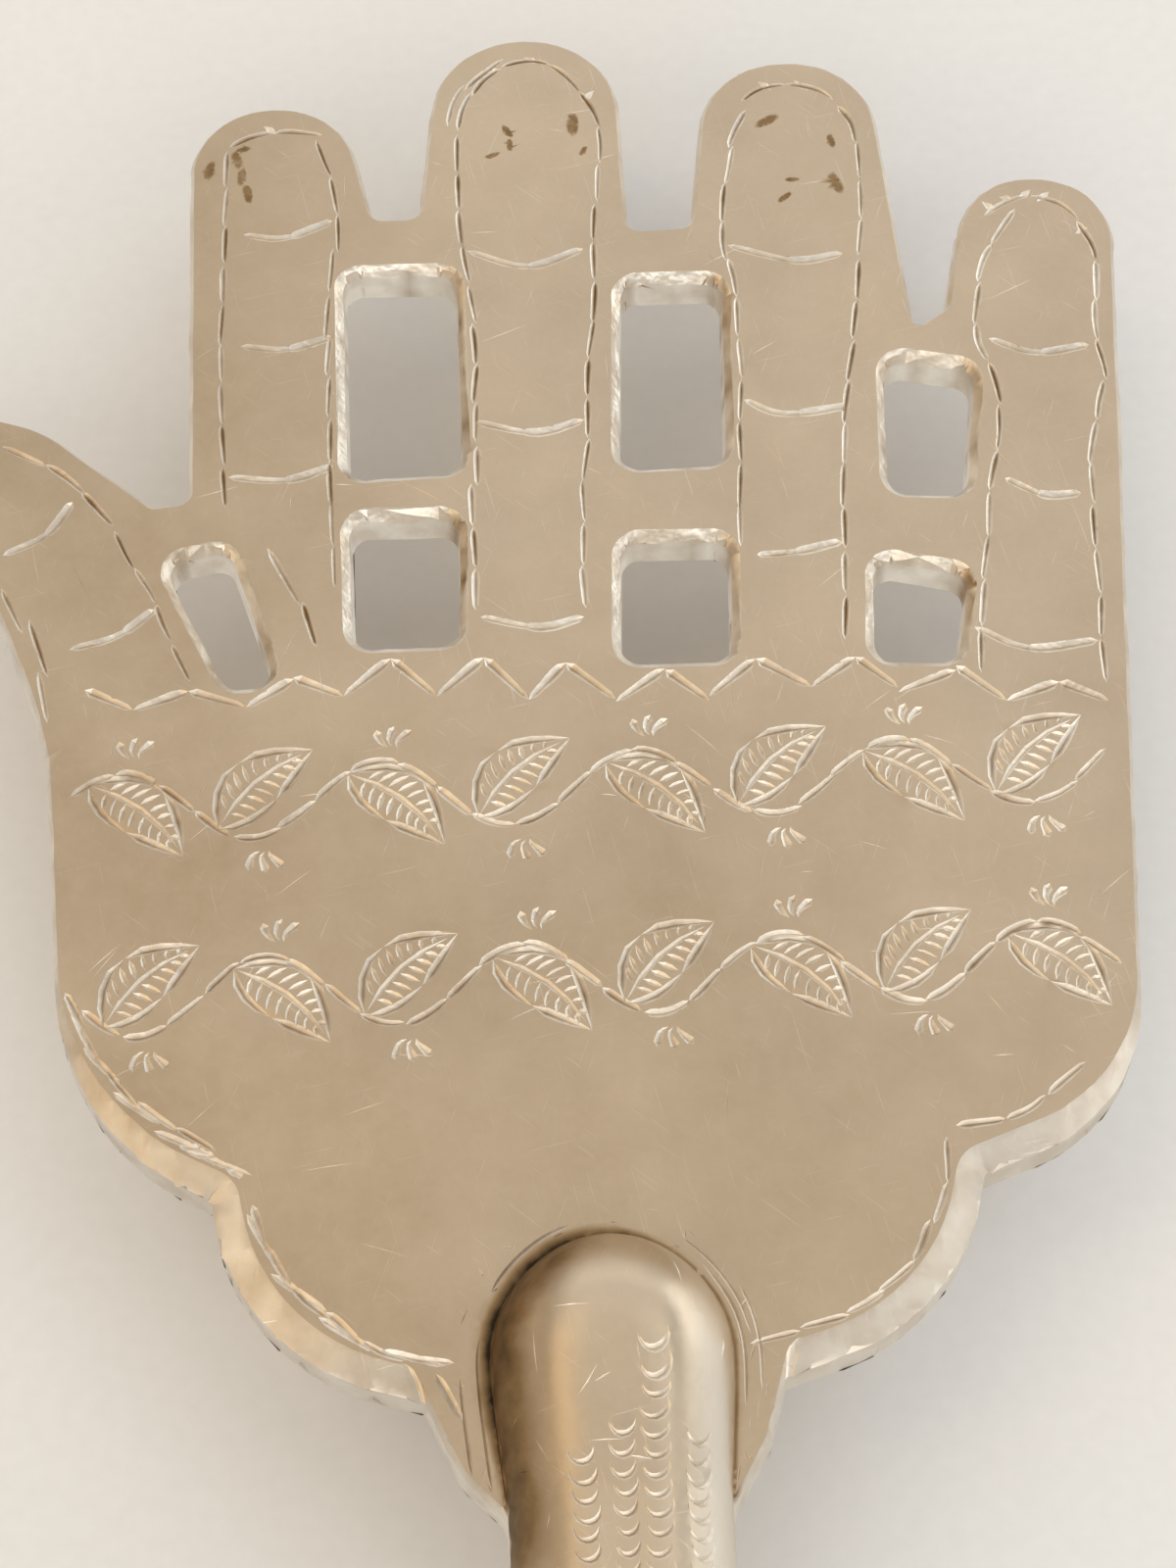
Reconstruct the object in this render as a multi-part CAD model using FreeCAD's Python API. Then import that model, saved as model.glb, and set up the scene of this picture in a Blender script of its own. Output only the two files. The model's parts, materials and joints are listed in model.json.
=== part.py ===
import FreeCAD, Part
import math
import os

# A silver yad: a flat pierced hand held in the slotted, domed end of an eight-sided stem, then a
# hollow faceted knop, a tube handle, a second knop and a finial with a loose ring.
# All sizes are in millimetres. +Y runs along the pointer to the fingertips and +Z rises out of the
# engraved face. The origin is the middle of the upper knop's lower facet, on which it lies.

Vector = FreeCAD.Vector
SIDES = 8                                       # of every moulding and of the wires
CORNER_RATIO = 1 / math.cos(math.pi / SIDES)    # radius to a corner over radius to a flat

# ---- clearances -------------------------------------------------------------
SLIP_FIT = 0.05             # radial play of the rod, spigots and shank in their bores
WIRE_FIT = 0.03             # play between a wire ring or band and the round it sits on
RING_PLAY = 0.35            # play round the loose ring's wire in the eye

# ---- knops ------------------------------------------------------------------
KNOP_SIZE = 12.5            # across the flats
KNOP_EDGE_FLAT = 1.7        # what the cut corners leave of each edge of the cube
KNOP_WALL = 0.7
KNOP_SOFTENING = 0.25       # width of the flat that softens each pressed edge
AXIS_Z = KNOP_SIZE / 2

# ---- core rod ---------------------------------------------------------------
ROD_RADIUS = 1.2
ROD_SEAT_IN_STEM = 6.0
ROD_SEAT_IN_CAP = 1.7

# ---- stem -------------------------------------------------------------------
COLLAR_LENGTH = 2.4
COLLAR_WIDTH = 8.6          # across the flats of the stem's eight-sided collar
COLLAR_THROAT = 6.2         # across the flats behind the wire ring
COLLAR_STEP = 1.3           # length of the collars' wide part
COLLAR_EDGE = 0.35          # slope at each end of the wide part
WIRE_RADIUS = 0.6           # of the twisted wire rings
STEM_SEAT_RADIUS = 2.45     # turned seat that the wire ring sits on
STEM_EXPOSED = 22.0         # from the wire ring to the foot of the hand
STEM_FOOT_WIDTH = 5.4       # across the side facets at the wire ring
STEM_NECK_WIDTH = 6.1       # where the hand's wings run into it
STEM_DOME_WIDTH = 6.9       # at the widest, on the plate
STEM_HEIGHT_RATIO = 0.86    # height over width
STEM_FACET_RATIO = 0.29     # corner cut over width
DOME_START = 2.7            # past the foot of the hand
DOME_LENGTH = 4.85
DOME_WIDTH_RATIO = 1.08     # the dome's round over the stem's width
DOME_BANDS = 6
SLOT_FLOOR = -1.5           # past the foot of the hand

# ---- hand plate (flat pairs are x, and y from the foot of the hand) ----------
PLATE_THICKNESS = 1.4
EDGE_DROP = 0.25            # height of the bevel round the engraved face
EDGE_BEVEL = 0.18           # its width along the fingers and the palm
LOBE_BEVEL = 0.90           # its width along the lobes
WINDOW_BEVEL = 0.30         # width and height of the bevel round each window
WINDOW_CORNER = 0.85        # radius of the windows' corners
FINGER_SPLIT_RADIUS = 0.35  # radius in the notches between the fingers
CUSP_RADIUS = 0.15          # radius in the cusps between the lobes

# The hand's outline, clockwise from the left end of its tail: each row is a corner's x, y and
# radius, and the width of the bevel along the side that leaves it.
HAND_OUTLINE = (
    (-3.00, -1.50, 0.0, EDGE_BEVEL),
    (-3.08, -0.30, 0.8, EDGE_BEVEL),
    (-4.25, 0.85, 2.0, EDGE_BEVEL),
    (-5.20, 2.98, CUSP_RADIUS, LOBE_BEVEL),
    (-10.25, 4.39, 6.5, LOBE_BEVEL),
    (-11.00, 8.98, CUSP_RADIUS, LOBE_BEVEL),
    (-15.25, 11.24, 7.8, EDGE_BEVEL),
    (-15.93, 23.70, 14.0, EDGE_BEVEL),
    (-17.75, 28.60, 4.0, EDGE_BEVEL),
    (-21.85, 31.60, 2.6, EDGE_BEVEL),
    (-19.70, 35.75, 2.4, EDGE_BEVEL),
    (-16.14, 34.62, 3.5, EDGE_BEVEL),
    (-12.72, 31.62, FINGER_SPLIT_RADIUS, EDGE_BEVEL),
    (-11.72, 31.74, FINGER_SPLIT_RADIUS, EDGE_BEVEL),
    (-11.72, 46.77, 2.75, EDGE_BEVEL),
    (-6.59, 46.77, 2.75, EDGE_BEVEL),
    (-5.62, 42.12, FINGER_SPLIT_RADIUS, EDGE_BEVEL),
    (-4.32, 42.12, FINGER_SPLIT_RADIUS, EDGE_BEVEL),
    (-3.42, 49.20, 3.10, EDGE_BEVEL),
    (2.60, 49.20, 3.10, EDGE_BEVEL),
    (2.62, 41.32, FINGER_SPLIT_RADIUS, EDGE_BEVEL),
    (4.50, 41.32, FINGER_SPLIT_RADIUS, EDGE_BEVEL),
    (5.38, 47.83, 2.90, EDGE_BEVEL),
    (10.90, 47.83, 2.90, EDGE_BEVEL),
    (11.52, 37.10, CUSP_RADIUS, EDGE_BEVEL),
    (12.45, 37.75, FINGER_SPLIT_RADIUS, EDGE_BEVEL),
    (13.60, 42.72, 2.50, EDGE_BEVEL),
    (18.56, 42.72, 2.50, EDGE_BEVEL),
    (15.51, 10.35, 5.4, LOBE_BEVEL),
    (10.77, 8.66, CUSP_RADIUS, LOBE_BEVEL),
    (9.71, 4.63, 6.4, LOBE_BEVEL),
    (4.76, 3.18, CUSP_RADIUS, EDGE_BEVEL),
    (4.20, 1.45, 2.0, EDGE_BEVEL),
    (3.12, -0.30, 0.8, EDGE_BEVEL),
    (3.00, -1.50, 0.0, EDGE_BEVEL),
)

# Four corners of each window, clockwise from the lower left.
WINDOWS = (
    ((-6.95, 32.05), (-6.95, 40.20), (-2.85, 40.10), (-2.90, 32.15)),
    ((1.52, 32.00), (1.95, 39.45), (5.68, 39.40), (5.32, 32.05)),
    ((9.82, 30.75), (10.15, 36.30), (13.48, 35.60), (12.68, 30.55)),
    ((-6.88, 26.05), (-6.92, 31.10), (-3.05, 31.00), (-3.18, 26.05)),
    ((1.18, 25.15), (1.45, 29.90), (5.30, 29.80), (5.02, 25.10)),
    ((8.82, 24.85), (9.20, 29.00), (12.55, 28.15), (11.82, 24.72)),
    ((-10.62, 24.90), (-12.78, 29.75), (-10.25, 30.25), (-8.62, 24.90)),
)

# ---- handle -----------------------------------------------------------------
TUBE_LENGTH = 88.0
TUBE_FRONT_WIDTH = 7.4      # across the flats of the eight-sided tube
TUBE_REAR_WIDTH = 6.6
TUBE_BORE_RADIUS = 2.5
FERRULE_WIDTH = 9.8         # across the flats of the ferrules at its ends
SPIGOT_LENGTH = 4.0
BAND_LENGTH = 5.0
BAND_HEIGHT = 1.1           # how far the band's crown stands proud of the flats
BAND_RIM = 0.5              # how far its ends do

# ---- finial, eye and ring ---------------------------------------------------
CAP_LENGTH = 3.8
CAP_WIDTH = 8.2             # across the flats of the flange on the knop
CAP_SHOULDER_WIDTH = 7.2
CAP_WAIST_WIDTH = 5.2
CAP_TOP_WIDTH = 3.0
CAP_FLANGE = 0.9            # thickness of the flange
CAP_STEP = 0.15             # slope from the flange in to the shoulder
SHANK_RADIUS = 0.8
SHANK_SEAT = 1.4
RING_WIRE_RADIUS = 0.6
RING_INNER_RADIUS = 4.5
EYE_WALL = 0.8
EYE_THICKNESS = 1.3
EYE_STANDOFF = 2.3          # from the cap to the middle of the eye's hole

# ---- stations along the axis ------------------------------------------------
COLLAR_FRONT = KNOP_SIZE / 2 + COLLAR_LENGTH
WIRE_SEAT_LENGTH = 2 * WIRE_RADIUS + 2 * WIRE_FIT
STEM_SHOULDER = COLLAR_FRONT + WIRE_SEAT_LENGTH
HAND_FOOT = STEM_SHOULDER + STEM_EXPOSED
TUBE_FRONT = -KNOP_SIZE / 2 - COLLAR_LENGTH
TUBE_REAR = TUBE_FRONT - TUBE_LENGTH
END_KNOP_Y = TUBE_REAR - COLLAR_LENGTH - KNOP_SIZE / 2
CAP_FRONT = END_KNOP_Y - KNOP_SIZE / 2
CAP_REAR = CAP_FRONT - CAP_LENGTH
EYE_Y = CAP_REAR - EYE_STANDOFF
BORE_RADIUS = ROD_RADIUS + SLIP_FIT
RING_RADIUS = RING_INNER_RADIUS + RING_WIRE_RADIUS
AXIS_POINT = Vector(0, 0, AXIS_Z)
ALONG = Vector(0, 1, 0)
FULL_TURN = 360
TINY = 1e-6


class Outline:
    """A chain of lines and arcs in one plane; place() turns a flat pair into a point."""

    def __init__(self, place, start):
        self.place = place
        self.start = start
        self.here = start
        self.edges = []

    def line(self, end):
        self.edges.append(Part.makeLine(self.place(*self.here), self.place(*end)))
        self.here = end

    def arc(self, through, end):
        arc = Part.Arc(self.place(*self.here), self.place(*through), self.place(*end))
        self.edges.append(arc.toShape())
        self.here = end

    def close(self):
        if math.dist(self.here, self.start) > TINY:
            self.line(self.start)
        return Part.Wire(self.edges)


def in_turning_plane(y, radius):
    """A point of a turned profile: its place along the axis and its distance from it."""
    return Vector(0, y, AXIS_Z + radius)


def turned(outline):
    """Revolves a closed profile round the pointer's axis."""
    return Part.Face(outline.close()).revolve(AXIS_POINT, ALONG, FULL_TURN)


def rod_along(radius, y_from, y_to):
    """A plain round bar on the axis."""
    low = min(y_from, y_to)
    return Part.makeCylinder(radius, abs(y_to - y_from), Vector(0, low, AXIS_Z), ALONG)


def wire_loop(major, wire_radius):
    """A closed loop of wire about the Y axis, with an eight-sided section."""
    corners = []
    for i in range(SIDES):
        angle = 2 * math.pi * (i + 0.5) / SIDES
        reach = wire_radius * CORNER_RATIO
        corners.append((reach * math.cos(angle), major + reach * math.sin(angle)))
    path = Outline(in_turning_plane, corners[0])
    for corner in corners[1:]:
        path.line(corner)
    return turned(path)


def wire_ring(y, seat_radius):
    """A soldered wire ring round a seat, with its middle at y."""
    ring = wire_loop(seat_radius + WIRE_FIT + WIRE_RADIUS, WIRE_RADIUS)
    ring.translate(Vector(0, y, 0))
    return ring


def octagon(y, width):
    """The corners of a regular eight-sided section, flat side up, from its width across flats."""
    corners = []
    for i in range(SIDES):
        angle = 2 * math.pi * (i + 0.5) / SIDES
        reach = width / 2 * CORNER_RATIO
        corners.append(Vector(reach * math.cos(angle), y, AXIS_Z + reach * math.sin(angle)))
    return corners


def flat_face(corners):
    return Part.Face(Part.makePolygon(corners + corners[:1]))


def flat_sided(sections):
    """A solid with flat faces through sections that all have the same number of corners."""
    faces = [flat_face(sections[0]), flat_face(sections[-1])]
    for front, rear in zip(sections, sections[1:]):
        for i in range(len(front)):
            faces.append(flat_face([front[i - 1], front[i], rear[i], rear[i - 1]]))
    shell = Part.makeShell(faces)
    shell.sewShape()
    return Part.makeSolid(shell)


def moulding(stations):
    """An eight-sided moulding through stations of y and width across the flats."""
    return flat_sided([octagon(y, width) for y, width in stations])


# ---- rounded polygons -----------------------------------------------------------

def direction(start, end):
    length = math.dist(start, end)
    return ((end[0] - start[0]) / length, (end[1] - start[1]) / length)


def rounded_polygon(points, radii, place):
    """A closed wire of straight sides, each corner with its own radius or sharp."""
    count = len(points)
    rounds = []
    for i in range(count):
        corner = points[i]
        back = direction(corner, points[i - 1])
        ahead = direction(corner, points[(i + 1) % count])
        half = math.acos(back[0] * ahead[0] + back[1] * ahead[1]) / 2
        setback = radii[i] / math.tan(half)
        to_middle = radii[i] / math.sin(half) - radii[i]
        spread = 2 * math.cos(half)
        rounds.append((
            (corner[0] + setback * back[0], corner[1] + setback * back[1]),
            (corner[0] + to_middle * (back[0] + ahead[0]) / spread,
             corner[1] + to_middle * (back[1] + ahead[1]) / spread),
            (corner[0] + setback * ahead[0], corner[1] + setback * ahead[1]),
        ))
    path = Outline(place, rounds[0][0])
    for i in range(count):
        first, middle, last = rounds[i]
        if radii[i] > 0:
            path.arc(middle, last)
        path.line(rounds[(i + 1) % count][0])
    return path.close()


def inset_polygon(points, radii, widths):
    """The same polygon, clockwise, with each side moved inwards by its width."""
    count = len(points)
    moved = []
    new_radii = []
    for i in range(count):
        before = direction(points[i - 1], points[i])
        after = direction(points[i], points[(i + 1) % count])
        in_before = widths[i - 1]
        in_after = widths[i]
        turn = before[0] * after[1] - before[1] * after[0]
        start = (points[i][0] + before[1] * in_before, points[i][1] - before[0] * in_before)
        target = (points[i][0] + after[1] * in_after, points[i][1] - after[0] * in_after)
        gap = (target[0] - start[0], target[1] - start[1])
        run = (gap[0] * after[1] - gap[1] * after[0]) / turn
        moved.append((start[0] + run * before[0], start[1] + run * before[1]))
        mean = (in_before + in_after) / 2
        bend = mean if turn > 0 else -mean
        new_radii.append(radii[i] + bend if radii[i] > 0 else 0.0)
    return moved, new_radii


def on_plate(height):
    """Places flat pairs at a height above the middle of the plate's thickness."""
    return lambda x, y: Vector(x, HAND_FOOT + y, AXIS_Z + height)


def bevel_layer(points, radii, widths, wide_height, narrow_height):
    """The layer whose sides slope from the polygon at one height to its inset at another."""
    inner_points, inner_radii = inset_polygon(points, radii, widths)
    wide = rounded_polygon(points, radii, on_plate(wide_height))
    narrow = rounded_polygon(inner_points, inner_radii, on_plate(narrow_height))
    return Part.makeLoft([wide, narrow], True, True)


# ---- hand plate -------------------------------------------------------------------

def window_cutter(points):
    """The hole of one window, with the slope of its bevel carried on above the face."""
    count = len(points)
    top = PLATE_THICKNESS / 2
    widths = [WINDOW_BEVEL] * count
    radii = [WINDOW_CORNER] * count
    hole_points, hole_radii = inset_polygon(points, radii, widths)
    hole = rounded_polygon(hole_points, hole_radii, on_plate(-2 * top))
    shaft = Part.Face(hole).extrude(Vector(0, 0, 3 * top - WINDOW_BEVEL))
    above_points, above_radii = inset_polygon(points, radii, [-WINDOW_BEVEL] * count)
    flare = bevel_layer(above_points, above_radii, [2 * WINDOW_BEVEL] * count,
                        top + WINDOW_BEVEL, top - WINDOW_BEVEL)
    return shaft.fuse(flare)


def hand_plate():
    """The sawn hand: a flat slab with a bevelled layer on top, then its windows."""
    points = [(row[0], row[1]) for row in HAND_OUTLINE]
    radii = [row[2] for row in HAND_OUTLINE]
    widths = [row[3] for row in HAND_OUTLINE]
    top = PLATE_THICKNESS / 2
    slab_top = top - EDGE_DROP
    slab_wire = rounded_polygon(points, radii, on_plate(-top))
    plate = Part.Face(slab_wire).extrude(Vector(0, 0, slab_top + top))
    plate = plate.fuse(bevel_layer(points, radii, widths, slab_top, top))
    for window in WINDOWS:
        plate = plate.cut(window_cutter(window))
    return plate.removeSplitter()


# ---- stem ---------------------------------------------------------------------------

def facet_section(y, width):
    """The stem's eight-sided section at one station: wide flats and cut corners."""
    half_width = width / 2
    half_height = half_width * STEM_HEIGHT_RATIO
    cut = STEM_FACET_RATIO * width
    points = [
        (-half_width, half_height - cut), (-half_width + cut, half_height),
        (half_width - cut, half_height), (half_width, half_height - cut),
        (half_width, cut - half_height), (half_width - cut, -half_height),
        (cut - half_width, -half_height), (-half_width, cut - half_height),
    ]
    return [Vector(x, y, AXIS_Z + z) for x, z in points]


def dome_envelope():
    """A bullet that rounds the stem's end down onto the plate, in narrow turned bands."""
    radius = STEM_DOME_WIDTH / 2 * DOME_WIDTH_RATIO
    nose_start = HAND_FOOT + DOME_START
    path = Outline(in_turning_plane, (STEM_SHOULDER, 0))
    path.line((STEM_SHOULDER, radius))
    for i in range(DOME_BANDS + 1):
        angle = math.pi / 2 * i / DOME_BANDS
        path.line((nose_start + DOME_LENGTH * math.sin(angle), radius * math.cos(angle)))
    return turned(path)


def stem():
    """The forged stem: faceted and tapered, domed at the hand, slotted for the plate."""
    stations = (
        (STEM_SHOULDER, STEM_FOOT_WIDTH),
        (HAND_FOOT, STEM_NECK_WIDTH),
        (HAND_FOOT + DOME_START + DOME_LENGTH, STEM_DOME_WIDTH * 2 - STEM_NECK_WIDTH),
    )
    bar = flat_sided([facet_section(y, width) for y, width in stations])
    bar = bar.common(dome_envelope())
    bar = bar.fuse(rod_along(STEM_SEAT_RADIUS, COLLAR_FRONT, STEM_SHOULDER))
    slot_length = DOME_START + DOME_LENGTH - SLOT_FLOOR
    slot = Part.makeBox(2 * STEM_DOME_WIDTH, slot_length, PLATE_THICKNESS,
                        Vector(-STEM_DOME_WIDTH, HAND_FOOT + SLOT_FLOOR,
                               AXIS_Z - PLATE_THICKNESS / 2))
    bar = bar.cut(slot)
    return bar.cut(rod_along(BORE_RADIUS, COLLAR_FRONT, COLLAR_FRONT + ROD_SEAT_IN_STEM))


# ---- collars, knops, tube and band -----------------------------------------------------

def collar_body(knop_face, far_face, width, throat):
    """A wide part with sloped ends against the knop, then a throat."""
    way = math.copysign(1, far_face - knop_face)
    return moulding((
        (knop_face, width - 2 * COLLAR_EDGE),
        (knop_face + way * COLLAR_EDGE, width),
        (knop_face + way * (COLLAR_STEP - COLLAR_EDGE), width),
        (knop_face + way * COLLAR_STEP, throat),
        (far_face, throat),
    ))


def stem_collar():
    """The collar between the upper knop and the stem."""
    body = collar_body(KNOP_SIZE / 2, COLLAR_FRONT, COLLAR_WIDTH, COLLAR_THROAT)
    return body.cut(rod_along(BORE_RADIUS, KNOP_SIZE / 2, COLLAR_FRONT))


def tube_width(y):
    """The tube's width across its flats at a station along the pointer."""
    share = (TUBE_FRONT - y) / TUBE_LENGTH
    return TUBE_FRONT_WIDTH + (TUBE_REAR_WIDTH - TUBE_FRONT_WIDTH) * share


def tube_corner(y):
    """The radius to the tube's corners at a station along the pointer."""
    return tube_width(y) / 2 * CORNER_RATIO


def tube_collar(knop_face, tube_end):
    """A ferrule between a knop and the tube, with a spigot inside the tube's bore."""
    into_tube = tube_end + math.copysign(SPIGOT_LENGTH, tube_end - knop_face)
    throat = tube_width(tube_end) + 2 * WIRE_RADIUS
    body = collar_body(knop_face, tube_end, FERRULE_WIDTH, throat)
    body = body.fuse(rod_along(TUBE_BORE_RADIUS - SLIP_FIT, tube_end, into_tube))
    return body.cut(rod_along(BORE_RADIUS, knop_face, into_tube))


def handle_tube():
    """The tapered tube: eight flats outside and a round bore."""
    tube = moulding(((TUBE_FRONT, TUBE_FRONT_WIDTH), (TUBE_REAR, TUBE_REAR_WIDTH)))
    return tube.cut(rod_along(TUBE_BORE_RADIUS, TUBE_FRONT, TUBE_REAR))


def handle_band():
    """A moulded band at the middle of the tube: a crown between two rims."""
    front = (TUBE_FRONT + TUBE_REAR + BAND_LENGTH) / 2
    step = BAND_LENGTH / 5
    heights = (BAND_RIM, BAND_RIM, BAND_HEIGHT, BAND_HEIGHT, BAND_RIM, BAND_RIM)
    outside = []
    for i, height in enumerate(heights):
        y = front - i * step
        outside.append((y, tube_width(y) + 2 * height))
    ends = (front, front - BAND_LENGTH)
    inside = moulding([(y, tube_width(y) + 2 * WIRE_FIT) for y in ends])
    return moulding(outside).cut(inside)


def cut_cube(size, edge_flat):
    """A cube on the axis, centred at y = 0, with its eight corners cut square across."""
    half = size / 2
    leg = (size - edge_flat) / 2
    solid = Part.makeBox(size, size, size, Vector(-half, -half, AXIS_Z - half))
    for sx in (-1, 1):
        for sy in (-1, 1):
            for sz in (-1, 1):
                tip = Vector(sx * half, sy * half, AXIS_Z + sz * half)
                legs = [tip - Vector(sx * leg, 0, 0), tip - Vector(0, sy * leg, 0),
                        tip - Vector(0, 0, sz * leg)]
                solid = solid.cut(flat_face(legs).extrude(Vector(sx, sy, sz) * leg))
    return solid


def knop_halves(centre_y):
    """The two pressed halves of a hollow knop, front and rear, drilled for the rod."""
    outside = cut_cube(KNOP_SIZE, KNOP_EDGE_FLAT)
    outside = outside.makeChamfer(KNOP_SOFTENING * math.sqrt(0.5), outside.Edges)
    shell = outside.cut(cut_cube(KNOP_SIZE - 2 * KNOP_WALL, KNOP_EDGE_FLAT))
    shell = shell.cut(rod_along(BORE_RADIUS, -KNOP_SIZE, KNOP_SIZE))
    shell.translate(Vector(0, centre_y, 0))
    front = Part.makeBox(2 * KNOP_SIZE, KNOP_SIZE, 2 * KNOP_SIZE,
                         Vector(-KNOP_SIZE, centre_y, AXIS_Z - KNOP_SIZE))
    return shell.common(front), shell.cut(front)


# ---- rod, finial, eye and ring -------------------------------------------------------------

def core_rod():
    """The rod that threads everything, from its bore in the stem to its bore in the cap."""
    return rod_along(ROD_RADIUS, CAP_FRONT - ROD_SEAT_IN_CAP + SLIP_FIT,
                     COLLAR_FRONT + ROD_SEAT_IN_STEM - SLIP_FIT)


def finial_cap():
    """An eight-sided cap: a flange on the knop and a spire, bored for the rod and the eye."""
    spire = (CAP_LENGTH - CAP_FLANGE) / 2
    cap = moulding((
        (CAP_FRONT, CAP_WIDTH),
        (CAP_FRONT - CAP_FLANGE, CAP_WIDTH),
        (CAP_FRONT - CAP_FLANGE - CAP_STEP, CAP_SHOULDER_WIDTH),
        (CAP_FRONT - CAP_FLANGE - spire, CAP_WAIST_WIDTH),
        (CAP_REAR, CAP_TOP_WIDTH),
    ))
    cap = cap.cut(rod_along(BORE_RADIUS, CAP_FRONT, CAP_FRONT - ROD_SEAT_IN_CAP))
    return cap.cut(rod_along(SHANK_RADIUS + SLIP_FIT, CAP_REAR, CAP_REAR + SHANK_SEAT))


def eye():
    """A drilled lug on a shank that seats in the cap."""
    hole = RING_WIRE_RADIUS + RING_PLAY
    across = Vector(1, 0, 0)
    start = Vector(-EYE_THICKNESS / 2, EYE_Y, AXIS_Z)
    lug = Part.makeCylinder(hole + EYE_WALL, EYE_THICKNESS, start, across)
    shank_end = EYE_Y + hole + EYE_WALL / 2
    lug = lug.fuse(rod_along(SHANK_RADIUS, CAP_REAR + SHANK_SEAT - SLIP_FIT, shank_end))
    return lug.cut(Part.makeCylinder(hole, EYE_THICKNESS, start, across)).removeSplitter()


def ring_droop():
    """How far below level the ring leans when its far side lies on the table, in radians."""
    return math.asin((AXIS_Z - RING_WIRE_RADIUS * CORNER_RATIO) / (2 * RING_RADIUS))


def suspension_ring():
    """The loose ring, through the eye and leaning down to the table behind it."""
    ring = wire_loop(RING_RADIUS, RING_WIRE_RADIUS)
    lean = 90 + math.degrees(ring_droop())
    ring.translate(Vector(0, EYE_Y, RING_RADIUS))
    ring.rotate(Vector(0, EYE_Y, AXIS_Z), Vector(1, 0, 0), lean)
    return ring


# ---- the whole pointer ----------------------------------------------------------------------

def build():
    upper_front, upper_rear = knop_halves(0)
    end_front, end_rear = knop_halves(END_KNOP_Y)
    wire_half = WIRE_RADIUS + WIRE_FIT
    return {
        "hand_plate": hand_plate(),
        "stem": stem(),
        "stem_wire": wire_ring(COLLAR_FRONT + wire_half, STEM_SEAT_RADIUS),
        "stem_collar": stem_collar(),
        "upper_knop_front": upper_front,
        "upper_knop_rear": upper_rear,
        "handle_front_collar": tube_collar(-KNOP_SIZE / 2, TUBE_FRONT),
        "handle_front_wire": wire_ring(TUBE_FRONT - wire_half, tube_corner(TUBE_FRONT)),
        "handle_tube": handle_tube(),
        "handle_band": handle_band(),
        "handle_rear_wire": wire_ring(TUBE_REAR + wire_half, tube_corner(TUBE_REAR + 2 * wire_half)),
        "handle_rear_collar": tube_collar(END_KNOP_Y + KNOP_SIZE / 2, TUBE_REAR),
        "end_knop_front": end_front,
        "end_knop_rear": end_rear,
        "core_rod": core_rod(),
        "finial_cap": finial_cap(),
        "eye": eye(),
        "suspension_ring": suspension_ring(),
    }


os.makedirs("parts", exist_ok=True)
for name, shape in build().items():
    shape.exportStep("parts/" + name + ".step")
    box = shape.BoundBox
    print(f"{name}: {len(shape.Solids)} solid, valid {shape.isValid()}, {shape.Volume:.1f} mm3, "
          f"y {box.YMin:.2f} to {box.YMax:.2f}, z {box.ZMin:.2f} to {box.ZMax:.2f}")
droop_degrees = math.degrees(ring_droop())
print(f"eye at y {EYE_Y:.3f}, z {AXIS_Z:.3f}; ring leans {droop_degrees:.2f} degrees below level")
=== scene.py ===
# %% [markdown]
# # A silver reading pointer
# The object is a yad: a thin silver hand, pierced between the fingers and engraved, held in the
# slotted end of a forged stem. Behind it come two hollow knops with a tube handle between them,
# and a hanging ring.
# The measured parts already exist as solids. This script dresses them: it replaces the parts that
# show most with finer meshes, gives every surface a silver finish, and lights the whole.

# %% Load the measured parts
import json
import math
import random

import bmesh
import bpy
import numpy as np
from mathutils import Matrix, Vector, noise
from mathutils.geometry import delaunay_2d_cdt


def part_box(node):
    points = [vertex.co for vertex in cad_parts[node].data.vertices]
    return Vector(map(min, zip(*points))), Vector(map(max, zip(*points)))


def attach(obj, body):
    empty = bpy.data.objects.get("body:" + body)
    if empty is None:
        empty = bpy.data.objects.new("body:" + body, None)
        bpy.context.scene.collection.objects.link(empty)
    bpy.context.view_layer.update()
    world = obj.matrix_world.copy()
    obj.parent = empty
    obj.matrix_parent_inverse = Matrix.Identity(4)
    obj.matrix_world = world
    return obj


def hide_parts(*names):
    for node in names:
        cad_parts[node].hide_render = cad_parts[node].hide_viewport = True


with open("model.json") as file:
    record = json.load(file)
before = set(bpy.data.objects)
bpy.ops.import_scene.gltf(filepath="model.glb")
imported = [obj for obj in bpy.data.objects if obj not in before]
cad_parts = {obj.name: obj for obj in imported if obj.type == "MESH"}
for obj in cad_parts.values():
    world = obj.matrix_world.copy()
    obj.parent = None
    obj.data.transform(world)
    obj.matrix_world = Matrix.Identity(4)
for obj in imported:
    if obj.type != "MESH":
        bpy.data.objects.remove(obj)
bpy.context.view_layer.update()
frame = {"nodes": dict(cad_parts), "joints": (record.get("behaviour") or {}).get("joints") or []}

# %% [markdown]
# ## Places on the hand
# Engraving is easiest to lay out on the flat face itself, in millimetres from the foot of the
# hand. Two small facts tie that sheet to the solids: where the foot lies along the pointer, and
# how high the face is. One helper then turns sheet coordinates into the scene's metres.

# %% Measure the hand and the stem
MM = 0.001
TAIL_LENGTH = 1.5           # the part of the plate behind the foot of the hand, in the slot
plate_low, plate_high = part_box("hand_plate")
stem_low, stem_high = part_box("stem")
FOOT_Y = plate_low.y / MM + TAIL_LENGTH
FACE_Z = plate_high.z / MM
BACK_Z = plate_low.z / MM
AXIS_Z = (stem_low.z + stem_high.z) / 2 / MM


def on_face(x, y, height=0.0):
    """A point in metres, from millimetres on the engraved face."""
    return Vector((x, FOOT_Y + y, FACE_Z + height)) * MM


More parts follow.
